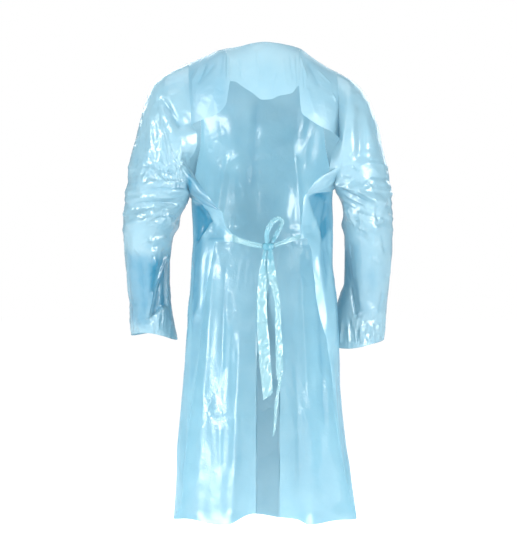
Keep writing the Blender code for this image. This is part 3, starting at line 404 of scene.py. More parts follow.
# Creases of handled film: the face they lie on, their two ends, half width, height, how far they
# bow sideways, and how crisp their crest is. Ends are x and z on the front, 1, and the back, -1,
# and y and z on the right side, 2, and the left, -2. Below zero a height is a trough.
SLEEVE_CREASES = {
    -1: rows_of("""
    face start z_start end z_end width height bow crisp
    -1 -236.1 -137 -190.7 -208.8 7 -5 0 .5; -1 -248.1 -144.2 -207.5 -220.6 6 2.5 0 .3
    -1 -245.7 -123.8 -224.1 -127.4 2.5 2.5 0 .6; -1 -267.2 -144.2 -275.1 -292 9 3.5 -4 .2
    -1 -243.3 -172.9 -207.8 -277.7 5 4 3 .6; -1 -219.6 -251.5 -212.6 -280.1 2.6 2.5 0 .7
    -1 -212.5 -265.8 -198.3 -304 2.6 3 0 .7; -1 -200.6 -280.1 -176.9 -325.3 3 3.5 0 .7
    -1 -272.6 -289.7 -229.8 -332.5 5 4 2 .5; -1 -289.8 -325.3 -265.5 -294.4 4 3 0 .5
    -1 -255.9 -299.2 -208 -313.5 4 -3 0 .5; -1 -292.4 -334.9 -176.9 -330.1 4 3 -3 .5
    -1 -282.9 -349.2 -174.6 -342 6 -4 0 .4; -1 -326.6 -370.6 -196.5 -367 3 3.5 -3 .7
    -1 -326.7 -382.6 -201.4 -379 3.5 -4 -2 .6; -1 -237.7 -399.3 -201.4 -382.6 4 4 0 .5
    -1 -296.1 -425.6 -230.4 -387.4 5 4 2 .5; -1 -312.3 -385 -288.7 -413.7 3 2.5 0 .6
    -1 -298.6 -428 -271.9 -423.2 2.5 2 0 .7; -1 -271.7 -411.3 -208.9 -411.3 5 -2.5 0 .3
    -1 -299.5 -476.1 -263.1 -471.3 3 4 -1 .7; -1 -270.4 -471.3 -231.4 -459.2 2.8 3.5 0 .7
    -1 -290.1 -490.6 -229.2 -476.1 6 -3 0 .3; -1 -311.9 -488.2 -295.3 -507.5 2 3 1 .8
    -1 -263.8 -509.9 -257.1 -539.1 5 3 0 .4; -1 -224.6 -493 -268 -588 4 5 2 .7
    -1 -268 -588 -284 -666.8 4 5 1 .7; -1 -297.5 -497.9 -286.3 -659.4 9 -2.5 0 .2
    -1 -313.2 -432.8 -322.4 -615 8 2.5 0 .2; -1 -259.2 -649.5 -254.8 -691.6 6 3.5 0 .4
    -1 -229.1 -536.6 -227.8 -716.3 3 3 0 .5; -1 -219.4 -615 -213 -708.9 3 -3 0 .4
    -1 -301.2 -664.3 -299.3 -701.5 5 2 0 .3; -1 -303.6 -253.9 -312 -363.5 7 -2 0 .2
    -1 -202.6 -96.3 -250.5 -115.4 9 -1.5 0 .2; 1 -269.6 -158.5 -241.8 -325.3 9 4 4 .4
    1 -217.2 -253.9 -294.8 -339.6 5 -4 0 .5; 1 -304.8 -363.5 -184.3 -353.9 4 4 4 .6
    1 -314.8 -392.2 -194.2 -385 5 -4 3 .5; 1 -296.1 -425.6 -204 -401.7 4 3.5 0 .6
    1 -297 -468.9 -219 -440 5 -3.5 -2 .5; 1 -307.6 -512.4 -229.3 -478.5 3 3 2 .7
    1 -273.8 -522.1 -296.6 -689.1 5 4 2 .5; 1 -242.5 -536.6 -252.4 -699 5 -3.5 0 .5
    1 -245.7 -206.4 -198.2 -277.7 4 3 0 .6; -2 -115 -300 55 -275 8 2.6 6 .5
    -2 -110 -330 60 -318 9 -2.9 6 .4; -2 -100 -352 40 -346 6 2.6 4 .6
    -2 -90 -392 75 -360 8 -2.6 5 .5; -2 -80 -410 70 -392 6 2.9 4 .6
    -2 -65 -452 60 -430 9 2.3 5 .5; -2 20 -300 70 -400 6 2.3 4 .6; -2 -60 -140 -85 -290 12 2 5 .3
    -2 10 -120 30 -270 14 -2 -5 .3; -2 -20 -470 60 -620 9 2.3 6 .4; -2 10 -560 70 -740 8 -2 -5 .4
    -2 75 -640 85 -765 6 2 0 .5
    """),
    1: rows_of("""
    face start z_start end z_end width height bow crisp
    -1 208.3 -385 228.4 -437.6 3.5 5 1 .5; -1 225.9 -432.8 262.5 -452 3.2 4.5 1 .5
    -1 215.3 -129.8 214.6 -282.5 12 2.6 -2 .2; -1 228.5 -163.3 233.8 -277.7 10 -2 0 .2
    -1 173.4 -115.4 180.6 -137 2 2 0 .6; -1 180.6 -137 199.8 -153.8 2 2 0 .6
    -1 186 -315.8 219.8 -325.3 5 3 0 .4; -1 214.6 -292 231.5 -304 3 -2.5 0 .5
    -1 169.3 -327.7 227.2 -350.3 3.2 6 2 .7; -1 171.7 -332.5 215.1 -342 2 2.4 0 .7
    -1 181.4 -339.6 237.1 -370.6 2.2 -3 1 .6; -1 186.4 -358.7 227.7 -392.2 2.4 3.4 1.5 .6
    -1 176.7 -346.8 196.3 -387.4 2.2 2.6 1 .6; -1 188.9 -373 203.8 -406.5 2.2 -3 1 .5
    -1 227.2 -350.3 283 -380.2 3.4 5.5 0 .7; -1 181.4 -342 268.6 -385 3.5 -4.5 2 .6
    -1 193.6 -353.9 259 -388.6 3 3.5 2 .6; -1 246.3 -330.1 263.2 -342 3 3 0 .6
    -1 201.2 -389.8 218.5 -425.6 6.5 6.5 1.5 .4; -1 225.4 -399.3 281.2 -418.5 4 4 2 .5
    -1 239.7 -387.4 288 -396.9 3 3 1 .6; -1 259.6 -425.6 298.1 -418.5 3 3 0 .5
    -1 271 -382.6 278.9 -425.6 4 -3 0 .4; -1 250.3 -444.8 305.7 -435.2 2 2.2 -1 .7
    -1 245.8 -464.1 296.7 -466.5 2.2 2.2 0 .7; -1 289.2 -454.4 299.8 -500.3 3 -3 0 .5
    -1 223.8 -452 270.2 -476.1 6 -2 0 .3; -1 263.7 -509.9 283.4 -522.1 2 2.4 0 .7
    -1 273.7 -523.3 307.7 -519.6 2 2 0 .7; -1 201 -464.1 216.3 -575.7 4 -3 0 .5
    -1 213.2 -468.9 228.6 -575.7 4 3.4 0 .5; -1 216.3 -575.7 234.8 -661.9 3.4 -5.5 0 .6
    -1 195.3 -406.5 204.8 -619.9 4 2.5 0 .4; -1 222 -493 244.4 -644.6 6 3 0 .3
    -1 297.3 -585.5 286.3 -654.5 4 -2 0 .4; -1 283.9 -659.4 239.8 -666.8 3 -2.4 -4 .5
    -1 239.8 -669.3 243.9 -726.1 4 4.6 0 .5; -1 211.5 -669.3 215.6 -726.1 3 4 0 .5
    -1 254.6 -671.8 257.5 -726.1 3 -3 0 .5; -1 269.4 -671.8 272.3 -723.7 4.5 4 0 .5
    -1 286.6 -674.2 289.5 -721.2 3 2.5 0 .5; -1 215.1 -659.4 223 -726.1 4 -2.5 0 .4
    -1 198 -664.3 193.4 -728.6 3 2.5 0 .5; -1 266.6 -529.4 268.9 -639.6 10 -2 0 .2
    1 262 -163.3 214.9 -320.6 9 4 -4 .4; 1 209.7 -273 277.5 -325.3 5 -4 0 .5
    1 174.2 -339.6 292.5 -373 4 4 4 .6; 1 186.7 -387.4 297.9 -406.5 5 -4 3 .5
    1 206.2 -411.3 289.1 -449.6 4 3.5 0 .6; 1 202.1 -459.2 294.6 -483.4 5 -3.5 -2 .5
    1 217.2 -493 305 -512.4 3 3 2 .7; 1 261.6 -526.9 279.6 -699 5 4 2 .5
    1 217.7 -522.1 235.3 -713.8 5 -3.5 0 .5; 2 -110 -285 60 -305 8 2.6 -6 .5
    2 -105 -318 50 -338 9 -2.9 -5 .4; 2 -95 -340 70 -362 6 2.7 4 .6
    2 -85 -385 60 -380 8 -2.6 5 .5; 2 -75 -402 80 -415 6 2.6 4 .6; 2 -40 -440 75 -452 8 2.3 -4 .5
    2 -70 -150 -60 -280 13 2 6 .3; 2 20 -130 10 -260 13 -2 5 .3; 2 0 -480 65 -640 9 2.3 -6 .4
    2 40 -520 90 -720 8 -2 5 .4; 2 60 -650 75 -770 6 2 0 .5
    """),
}
SHOULDER_CREASES = rows_of("""
    face start z_start end z_end width height bow crisp
    -1 -134 -42.5 -156.7 -99.8 4.5 -2.4 0 .5; -1 -111.3 -40.1 -151.9 -95.1 5 -1.2 0 .3
    -1 -147.2 -40.1 -173.4 -97.4 5 1.2 0 .3; -1 -99.4 -16.2 -99.4 -83.1 6 -1.6 0 .3
    -1 -226 -97.4 -156.7 -59.2 10 -2 0 .2; -1 -137.6 -135.7 -106.5 -107 12 1 0 .2
    -1 88.1 -21 107.2 -87.9 3.5 2.4 0 .6; -1 106.1 -35.3 141.9 -107 9 -2.6 0 .3
    -1 129.9 -56.8 165.8 -92.7 2.4 1.8 0 .7; -1 101.3 -97.4 127.6 -178.7 9 2 0 .3
    -1 168.2 -116.6 177.7 -138.1 2 2 0 .6; -1 -89.1 -16.2 -87.4 -87.9 1.8 -1.6 0 .5
    -1 97.7 -21 98.9 -116.6 2 -1.4 0 .5
""")
YOKE_CREASES = rows_of("""
    face start z_start end z_end width height bow crisp
    -1 -89.1 -16.2 -87.4 -87.9 1.8 -1.6 0 .5; -1 80.5 -16.2 81.7 -116.6 2 -1.4 0 .5
    -1 -58.8 -30.6 -49.2 -87.9 4 -1.4 0 .4; -1 -80.3 -16.2 -75.5 -87.9 4 1.2 0 .3
    -1 -15.8 -9.1 -11 -64 3 1.2 0 .5; -1 -1.4 -40.1 -15.8 -116.6 8 1.2 0 .2
    -1 34.4 -64 20.1 -126.1 4 -1.1 0 .4; -1 65.4 -16.2 72.6 -97.4 4 -1.4 0 .4
    -1 46.3 -28.2 58.3 -111.8 4 1.1 0 .3
""")
PANEL_CREASES = rows_of("""
    face start z_start end z_end width height bow crisp
    -1 -169.5 -380.8 -138.3 -428.8 6 -5 0 .4; -1 -138.3 -426.4 -164.7 -476.9 6 -5 0 .4
    -1 -152.7 -385.6 -131.1 -414.4 3 3 0 .6; -1 -140.7 -388 -114.2 -443.3 3 -4 0 .5
    -1 -123.8 -402.4 -102.2 -450.5 4 2 0 .5; -1 -157.5 -493.7 -167.1 -690.6 6 3 2 .3
    -1 -135.9 -493.7 -152.7 -685.8 7 -2 0 .2; -1 -164.7 -620.9 -152.7 -642.5 2.4 -2.4 0 .5
    -1 -169.5 -709.8 -183.9 -949.9 6 2.4 0 .3; -1 -181.5 -853.8 -198.3 -1141.9 5 -2 0 .3
    -1 161.9 -359.2 141.5 -436.1 3 -5 0 .6; -1 123.5 -359.2 161.9 -368.8 6 -5 0 .4
    -1 142.7 -385.6 118.7 -450.5 5 2.5 0 .4; -1 133.1 -493.7 154.7 -690.6 6 1.8 -2 .4
    -1 147.5 -469.7 164.3 -613.7 4 -3 0 .4; -1 165.5 -522.5 176.3 -721.8 3 3 0 .5
    -1 154.7 -685.8 195.5 -1021.9 4 2.4 0 .3; -1 171.5 -709.8 214.7 -1141.9 5 -2 0 .3
    -1 94.6 -440.9 152.3 -455.3 3 2.4 0 .4; -1 -133.5 -426.4 -83 -469.7 3.5 3 0 .5
    -1 -111.8 -412 -73.4 -464.9 3 -2.5 0 .5; -2 -60 -420 -85 -1060 16 2.6 10 .3
    -2 -20 -500 -10 -1160 18 -2.6 -10 .3; -2 50 -440 70 -1120 16 2.6 8 .3
    2 -70 -430 -75 -1080 16 2.6 -10 .3; 2 -10 -480 0 -1150 18 -2.6 10 .3
    2 60 -460 60 -1130 16 2.6 -8 .3; 1 -81.9 -237.5 -119.8 -465.2 9 4 4 .3
    1 74.9 -212.2 95.2 -452.5 9 4 -4 .3; 1 -11.1 -98.4 -31.3 -364 12 -3 0 .2
    1 -145.1 -455 -46.5 -437.3 4 3 -3 .6; 1 -142.6 -480.3 -56.6 -465.2 5 -3 0 .5
    1 140.7 -455 54.7 -434.8 4 3 3 .6; 1 125.5 -482.9 44.6 -467.7 5 -3 0 .5
    1 -122.4 -515.8 -152.7 -920.5 7 4 0 .4; 1 -92 -520.8 -102.1 -819.3 6 -3 3 .3
    1 95.2 -520.8 115.4 -895.2 7 4 0 .4; 1 135.7 -525.9 161 -971.1 6 -3 0 .3
    1 -56.6 -692.8 -71.8 -1122.9 8 3.5 0 .3; 1 85.1 -743.4 95.2 -1135.5 8 3.5 0 .3
    1 -183.1 -869.9 -205.8 -1148.2 6 3 0 .4; 1 196.4 -869.9 219.1 -1148.2 6 3 0 .4
    1 -157.8 -313.4 -122.4 -429.7 5 -3.5 0 .5; 1 150.8 -313.4 115.4 -424.7 5 -3.5 0 .5
    1 -147.7 -353.9 -102.1 -399.4 3 2.5 0 .6; 1 140.7 -358.9 95.2 -394.3 3 2.5 0 .6
""")

# Patches where the film is crushed: the face, the middle, half width, half height,
# and the height, width and length of the facets
SLEEVE_PATCHES = {
    -1: rows_of("""
    face middle z half_width half_height height width length
    -1 -253 -230 58 125 2.8 17 44; -1 -251 -311 72 58 3.4 20 26; -1 -198 -292 38 58 5 12 24
    -1 -266 -352 87 31 1.8 50 14; -1 -260 -407 77 36 4.6 24 14; -1 -268 -471 63 29 2.4 22 12
    -1 -259 -527 29 41 2.4 20 34; -1 -257 -672 30 42 3 16 36; -1 -212 -163 24 43 1 26 50
    1 -251 -254 58 120 2.4 34 50; 1 -258 -445 58 73 2.2 46 24; 1 -271 -640 39 74 1.8 24 50
    -2 -30 -210 60 90 1.8 26 60; -2 -10 -360 90 80 2.6 46 22; -2 50 -680 50 70 1.8 20 50
    """),
    1: rows_of("""
    face middle z half_width half_height height width length
    -1 206 -344 48 34 1.8 44 16; -1 226 -423 43 36 3.2 18 13; -1 256 -342 26 24 2.4 28 14
    -1 280 -493 53 83 1.3 20 14; -1 250 -699 69 44 4 13 36; 1 238 -254 58 120 2.2 34 50
    1 241 -445 58 73 2.2 46 24; 1 252 -640 39 74 1.6 24 50; 2 -30 -200 60 80 1.8 26 60
    2 0 -370 90 80 2.6 46 22; 2 60 -690 50 70 1.8 20 50
    """),
}
PANEL_PATCHES = rows_of("""
    face middle z half_width half_height height width length
    1 85 -530 110 130 2.4 34 60; 1 -95 -500 100 120 2.4 34 60; 1 20 -270 160 140 2 50 60
    1 120 -860 120 220 2.2 30 110; 1 -130 -920 120 200 2.2 30 110; 2 0 -600 110 190 2.6 28 55
    -2 0 -600 110 200 2.8 28 55
""")

# Hollows where the film is folded in on itself or lies double, and outlines with no depth that only
# get painted
# shade: face, width of the slope at the edge, depth, how much deeper the colour is, partly for film
# lying double and partly painted shade, and the corners in order
SLEEVE_HOLLOWS_AND_SHADE = {
    -1: hollows_and_shade("""
    -1 6 9 .66 -228.3 -493 -231.9 -629.8 -279 -661.9 -260.6 -585.5
    -1 3 0 .5 -181.5 -306.3 -138.5 -337.2 -88.2 -396.9 -78.8 -444.8 -126.8 -406.5 -179.7 -380.2
    -1 4 0 .35 -183.8 -292 -169.5 -306.3 -172.4 -368.2 -189.1 -349.2
    -1 26 0 .6 -340.9 -483.4 -229.6 -497.9 -256.2 -615 -277.1 -699 -345.7 -679.2
    -1 12 0 .3 -283.5 -522.1 -214.9 -493 -245.7 -575.7 -281.1 -639.6
    """),
    1: hollows_and_shade("""
    -1 22 0 .17 187.6 -459.2 313.9 -478.5 318.1 -644.6 245 -689.1 205.1 -644.6
    -1 4 0 .45 164.8 -363.5 198.4 -349.2 176.8 -365.9 162.5 -380.2
    -1 6 0 0 194.8 -459.2 212.8 -522.1 239.8 -664.3 220 -659.4 199.1 -565.9
    """),
}
PANEL_HOLLOWS_AND_SHADE = hollows_and_shade("""
    -1 4 5 .85 -173.1 -373.6 -145.5 -380.8 -119 -424 -150.3 -464.9 -171.9 -479.3
    -1 6 3 .35 -171.9 -469.7 -143.1 -460.1 -150.3 -613.7 -169.5 -685.8
    -1 8 4 .6 104.2 -366.4 133.1 -342.4 173.9 -344.8 171.5 -440.9 142.7 -479.3 121.1 -412
    -1 6 3 .4 137.9 -431.2 159.5 -402.4 166.7 -522.5 152.3 -613.7 135.5 -522.5
    -1 6 0 .25 -174.3 -460.1 -83 -460.1 -97.4 -522.5 -135.9 -685.8 -174.3 -853.8
    -1 4 0 .3 -135.9 -436.1 -109.4 -426.4 -73.4 -464.9 -83 -476.9 -131.1 -469.7
""")
# Painted shade over the back shoulders, heavier on the left; these outlines have no depth, so they
# only darken the colour
SHOULDER_PAINTED_SHADE = {
    -1: hollows_and_shade("-1 30 0 .28 -210 20 -70 20 -70 -300 -210 -300"),
    1: hollows_and_shade("-1 30 0 .08 90 20 220 20 220 -300 90 -300"),
}

# How the film of each piece was handled: its creases, hollows with their painted shade and crushed
# patches, the height of its long swells and of its facets, and the facets' size along X, Y and Z
HANDLED = {
    "front_panel": {
        "creases": PANEL_CREASES,
        "recesses_and_shade": PANEL_HOLLOWS_AND_SHADE,
        "patches": PANEL_PATCHES,
        "swell": 0.003,
        "facets": 0.0007,
        "stretch": (0.034, 0.034, 0.10),
    },
    "back_yoke": {"creases": YOKE_CREASES, "swell": 0.002, "facets": 0.0004},
}
for side, hand, facets in ((-1, "left", 0.0011), (1, "right", 0.0009)):
    HANDLED["shoulder_" + hand] = {
        "creases": SHOULDER_CREASES,
        "recesses_and_shade": SHOULDER_PAINTED_SHADE[side],
        "swell": 0.002,
        "facets": 0.0004,
    }
    HANDLED["sleeve_" + hand] = {
        "creases": SLEEVE_CREASES[side],
        "recesses_and_shade": SLEEVE_HOLLOWS_AND_SHADE[side],
        "patches": SLEEVE_PATCHES[side],
        "swell": 0.003,
        "facets": facets,
        "stretch": (0.045, 0.045, 0.024),
    }
# How deep the film's colour is at the knot, where it lies in many layers
BUNCHED = {
    "tie_left": 0.2,
    "tie_right": 0.2,
    "tie_loop": 0.6,
    "tie_tail_left": 0.5,
    "tie_tail_right": 0.5,
    "tie_knot": 0.7,
}

# Each piece's slot, and for a sheet how it is held and the width, length and area of its flat cut
CUTS = {
    "front_panel": ("film_panel", "hung", 1.20, 1.18, 0.80),
    "back_yoke": ("film_back", "draped", 0.19, 0.16, 0.0265),
    "shoulder_left": ("film_back", "draped", 0.13, 0.21, 0.0215),
    "shoulder_right": ("film_back", "draped", 0.13, 0.23, 0.0235),
    "sleeve_left": ("film_sleeve", "draped", 0.56, 0.78, 0.285),
    "sleeve_right": ("film_sleeve", "draped", 0.54, 0.78, 0.272),
    "tie_left": ("film_tie", "gathered", 0.020, 0.085, 0.0012),
    "tie_right": ("film_tie", "gathered", 0.018, 0.075, 0.00098),
    "tie_loop": ("film_tie", "folded", 0.016, 0.150, 0.0018),
    "tie_tail_left": ("film_tie", "hung", 0.028, 0.365, 0.0089),
    "tie_tail_right": ("film_tie", "hung", 0.020, 0.450, 0.0065),
    "tie_knot": ("film_tie", None, 0.0, 0.0, 0.0),
}

FLOOR_Z = -1.5
FLOOR_HALF = 30.0
CAMERA = (-0.0098, -4.0, -0.5537)
FOCAL_PIXELS = 1632.65
PHOTO_HEIGHT = 550
AROUND = 0.47  # light from the surroundings, as a share of the backdrop's brightness


def mix(start, end, share):
    return start + (end - start) * share


def eased(share):
    share = np.clip(share, 0.0, 1.0)
    return share**2 * (3 - 2 * share)


def unit(vectors):
    return vectors / np.linalg.norm(vectors, axis=-1, keepdims=True)


def depth_at(share, x, height, face):
    """Y on one face, where `share` is the section's own share of its full depth."""
    full = np.where(face > 0, BODY["front"](height), BODY["back"](height))
    rounding = np.where(face > 0, FRONT_ROUNDING, BACK_ROUNDING)
    low = np.clip((RIDGE(x) - height) / rounding, 0.0, 1.0)
    rounded = np.sqrt(1 - (1 - low) ** 2)
    return BODY_Y + face * (full * share * rounded + RIDGE_GAP * (1 - rounded))


def body(turn, height):
    """The points `turn` degrees round the body from its front centre, positive towards +X."""
    turn, height = np.broadcast_arrays(np.asarray(turn, float), np.asarray(height, float))
    sine = np.sin(np.radians(turn))
    cosine = np.cos(np.radians(turn))
    power = 2 / BODY["square"](height)
    x = BODY["shift"](height) + np.sign(sine) * np.abs(sine) ** power * BODY["half"](height)
    face = np.where(cosine < 0, -1.0, 1.0)
    return np.stack([x, depth_at(np.abs(cosine) ** power, x, height, face), height], axis=-1)


def skin(x, height, face):
    """The points of the body's front or back face at x and a height."""
    square = BODY["square"](height)
    side = np.minimum(np.abs(x - BODY["shift"](height)) / BODY["half"](height), 1.0)
    share = (1 - side**square) ** (1 / square)
    return np.stack([x, depth_at(share, x, height, face), height], axis=-1)


def wrapped(turn, height):
    """The body's points there, with the body's folds."""
    turn = np.asarray(turn, float) + np.zeros_like(height)
    around = np.radians(turn)
    outward = np.stack([np.sin(around), np.cos(around), np.zeros_like(around)], axis=-1)
    return folded(body(turn, height), outward, BODY_FOLDS)


def outward_at(turn, height):
    """The directions straight out of the body at places round it."""
    across = wrapped(turn + 1, height) - wrapped(turn - 1, height)
    down = wrapped(turn, height - NEAR) - wrapped(turn, height + NEAR)
    return unit(np.cross(across, down))


def turn_at(x, height):
    """How far round the front a place x lies, in degrees."""
    side = np.clip((x - BODY["shift"](height)) / BODY["half"](height), -1.0, 1.0)
    return np.degrees(np.sign(side) * np.arcsin(np.abs(side) ** (BODY["square"](height) / 2)))


def beside_run(across, z, ends):
    """How far places lie along a straight run, as a share of it, and beside it; and its length."""
    start, z_start, end, z_end = ends
    run = end - start
    run_z = z_end - z_start
    length = math.hypot(run, run_z)
    off = across - start
    off_z = z - z_start
    return (off * run + off_z * run_z) / length**2, (off * run_z - off_z * run) / length, length


def folded(points, outward, folds):
    """The points moved out or in by the folds that run past them on their own face."""
    move = 0.0
    for face, *ends, width, height in folds:
        along, beside, length = beside_run(points[..., 0], points[..., 2], ends)
        past = np.maximum(np.maximum(-along, along - 1), 0.0) * length
        facing = np.clip(2 * face * outward[..., 1], 0.0, 1.0)
        move = move + height * facing * np.exp(-((beside**2 + past**2) / width**2))
    return points + outward * move[..., None]


def neck_or_ridge(x):
    """Height of the front panel's top edge: the shoulder line, and the scoop between its points."""
    share = np.minimum(np.abs(x) / NECK_HALF, 1.0)
    neck = RIDGE(np.sign(x) * NECK_HALF) - NECK_SCOOP * np.cos(np.pi / 2 * share) ** NECK_ROUND
    return np.where(share >= 1, RIDGE(x), neck)


def side_points(side, shares, heights):
    """Points of the front beside the pleat, by the columns' shares from the side line inwards."""
    edge = np.minimum(ARMHOLE_EDGE[side](heights), SIDE_TURN)
    beside_pleat = turn_at(PLEAT_MIDDLE + side * PLEAT_REACH * PLEAT_HALF, heights)
    return wrapped(mix(side * edge, beside_pleat, shares), heights)


def pleat_points(steps, heights):
    """Points of the centre pleat, by the columns' steps across it."""
    pressed = eased((PLEAT_TOP - heights) / (PLEAT_TOP - PLEAT_FLAT))
    across = mix(PLEAT_REACH * (2 * steps / PLEAT_STEPS - 1), PLEAT["across"](steps), pressed)
    out = PLEAT["out"](steps) * (PLEAT_LAYER * pressed + PLEAT_RIPPLE * pressed * (1 - pressed))
    x = PLEAT_MIDDLE + across * PLEAT_HALF
    points = folded(body(turn_at(x, heights), heights), np.array((0.0, 1.0, 0.0)), BODY_FOLDS)
    points[..., 1] += out
    return points


def side_shares(side):
    corner = NECK_CORNER[side]
    outer = np.linspace(0, corner, SHOULDER_POINTS, endpoint=False)
    return np.concatenate([outer, np.linspace(corner, 1, NECK_POINTS, endpoint=False)])


def front_points(heights):
    """The front's points at a grid of heights, with columns from one side line to the other."""
    left = side_shares(-1)
    steps = np.linspace(0, PLEAT_STEPS, PLEAT_POINTS + 1)
    inner = len(left)
    outer = inner + len(steps)
    parts = [
        side_points(-1, left, heights[..., :inner]),
        pleat_points(steps, heights[..., inner:outer]),
        side_points(1, side_shares(1)[::-1], heights[..., outer:]),
    ]
    return np.concatenate(parts, axis=-2)


def level_heights():
    """The panel's level rows, with the heights where its parts meet among them."""
    levels = [float(cell) / 1000 for cell in PANEL_HEIGHTS.split()]
    rows = []
    for start, end in zip(levels, levels[1:]):
        count = max(1, round((start - end) / ROW_SPACING))
        rows += [mix(start, end, i / count) for i in range(count)]
    return np.array(rows + levels[-1:])


def chest_rows(top, first=0):
    """Heights from the shoulder line down to the first level row."""
    shares = np.linspace(0, 1, CHEST_ROWS, endpoint=False)[first:] ** CHEST_CROWDING
    return mix(top, level_heights()[0], shares if np.ndim(top) == 0 else shares[:, None])


def panel_top(side):
    """Height of the armhole's top."""
    height = np.array([float(RIDGE(ARMHOLE_TOP))])
    for _ in range(SETTLING):
        height = neck_or_ridge(side_points(side, 0.0, height)[..., 0])
    return float(height[0])


def front_panel_grids():
    columns = 2 * (SHOULDER_POINTS + NECK_POINTS) + PLEAT_POINTS + 1
    tops = np.full(columns, float(RIDGE(ARMHOLE_TOP)))
    for _ in range(SETTLING):
        tops = neck_or_ridge(front_points(tops)[..., 0])
    levels = level_heights()
    lowest = levels[-1]
    x = front_points(np.full(columns, lowest))[:, 0]
    feet = HEM(turn_at(x, lowest))
    drops = np.linspace(0, 1, HEM_ROWS + 1)[1:, None]
    level_rows = np.repeat(levels[:, None], columns, axis=1)
    heights = np.concatenate([chest_rows(tops), level_rows, mix(lowest, feet, drops)])
    grids = [front_points(heights)]
    for side in (-1, 1):
        for turns, heights in (flap_places(side), tongue_places(side)):
            grid = wrapped(side * turns, heights)
            grids.append(grid if side > 0 else grid[:, ::-1])
    return grids


def flap_places(side):
    """Turns and heights from the side line to the back edge, in rows from the weld to the hem."""
    shares = np.linspace(0, 1, FLAP_POINTS)
    all_turns = []
    all_heights = []
    for start in level_heights():
        if start > UNDERARM[side]:
            continue
        down = (UNDERARM[side] - start) / (UNDERARM[side] - FLAP_LEVEL[side])
        edge = mix(FLAP_TOP[side], FLAP_LEVEL[side], down) if down < 1 else start
        turns = mix(SIDE_TURN, BACK_EDGE[side](edge), shares)
        heights = np.full(FLAP_POINTS, start)
        if down < 1:
            heights = mix(WELD[side](turns), FLAP_LEVEL[side], down)
        all_turns.append(turns)
        all_heights.append(heights)
    lowest = all_heights[-1][0]
    foot_edge = BACK_EDGE[side](HEM(side * BACK_EDGE[side](lowest)))
    feet = HEM(side * mix(SIDE_TURN, foot_edge, shares))
    for drop in np.linspace(0, 1, HEM_ROWS + 1)[1:]:
        heights = mix(lowest, feet, drop)
        all_turns.append(mix(SIDE_TURN, BACK_EDGE[side](heights[-1]), shares))
        all_heights.append(heights)
    return np.array(all_turns), np.array(all_heights)


def tongue_places(side):
    """Turns and heights over the part of the flap that narrows into the tie."""
    turns, heights = flap_places(side)
    keep = heights[:, -1] >= TIE_FOOT[side]
    inner = turns[keep, -1:]
    height = heights[keep, -1:]
    shares = np.linspace(0, 1, TONGUE_POINTS)
    return mix(inner, FLAP_EDGE[side](height), shares), height + np.zeros(TONGUE_POINTS)


def patch(top, foot, outer=None):
    """Rows of points over a four-sided piece of the back, from its edges as (x, height).

    The inner edge is straight, and so is the outer one where none is given.
    """
    down = np.linspace(0, 1, WING_POINTS)[:, None]
    across = down.T
    places = []
    for axis in (0, 1):
        ruled = mix(top(across)[axis], foot(across)[axis], down)
        if outer:
            far = mix(top(1.0)[axis], foot(1.0)[axis], down)
            ruled = ruled + (outer(down)[axis] - far) * across
        places.append(ruled)
    return skin(*places, -1)


def shoulder_grid(side):
    """One back shoulder wing, from the neck slit to the armhole."""
    star = STAR_EDGE[side]

    def top(across):
        x = side * mix(SLIT_TOP + SLIT, ARMHOLE_TOP, across)
        return x, RIDGE(x)

    def foot(across):
        return star["x"](across) + side * SLIT * (1 - across), star["height"](across)

    def outer(down):
        height = mix(RIDGE(side * ARMHOLE_TOP), star["height"](1), down)
        return side * FREE_EDGE[side](height), height

    grid = patch(top, foot, outer)
    return grid if side > 0 else grid[:, ::-1]


def yoke_grid():
    """The flap behind the neck, between the two slits."""

    def top(across):
        return (SLIT_TOP - SLIT) * (2 * across - 1), YOKE_TOP["height"](across)

    def foot(across):
        return YOKE_FOOT["x"](across) + SLIT * (1 - 2 * across), YOKE_FOOT["height"](across)

    return patch(top, foot)


def armhole(side):
    """The armhole's points, down the back and up the front.

    With them come their places round the sleeve, and the directions out of the body and past the
    edge.
    """
    top = panel_top(side)
    corner = float(STAR_EDGE[side]["height"](1))
    tip = WING_TIP[side]
    upper = mix(top, corner, np.linspace(0, 1, EDGE_ROWS)[1:])
    free = np.concatenate([upper, mix(corner, tip, np.linspace(0, 1, FREE_ROWS)[1:])])
    x = side * FREE_EDGE[side](free)
    free_points = folded(skin(x, free, -1), np.array((0.0, -1.0, 0.0)), BODY_FOLDS)
    turns, heights = (places[1:, -1] for places in tongue_places(side))
    tongue = np.stack([turns, heights], axis=-1)[heights >= tip]
    flap = np.stack([places[0] for places in flap_places(side)], axis=-1)
    weld_turn, weld = np.concatenate([tongue[::-1], flap[::-1]]).T
    reach = (weld_turn - SIDE_TURN) / (float(FLAP_EDGE[side](tip)) - SIDE_TURN)
    levels = level_heights()
    levels = levels[levels > UNDERARM[side]]
    front = np.concatenate([chest_rows(top, 1), levels])[::-1]
    front_turn = ARMHOLE_EDGE[side](front)
    parts = (
        (0.0, SIDE_TURN, top, (side * ARMHOLE_TOP, BODY_Y, top)),
        (BACK_AROUND((top - free) / (top - tip)), 180 - side * turn_at(x, free), free, free_points),
        (mix(180, float(BACK_AROUND(1)), reach), weld_turn, weld, wrapped(side * weld_turn, weld)),
        (
            FRONT_AROUND((top - front) / (top - UNDERARM[side])),
            front_turn,
            front,
            wrapped(side * front_turn, front),
        ),
    )
    around, turn, height = (np.hstack([part[i] for part in parts]) for i in range(3))
    points = np.vstack([part[3] for part in parts])
    before = np.roll(points, 1, axis=0)
    before[len(free)] = points[len(free)]  # the wing's tip is a corner, where only the weld counts
    outward = outward_at(side * turn, height)
    past = side * unit(np.cross(outward, np.roll(points, -1, axis=0) - before))
    return around, points, outward, past


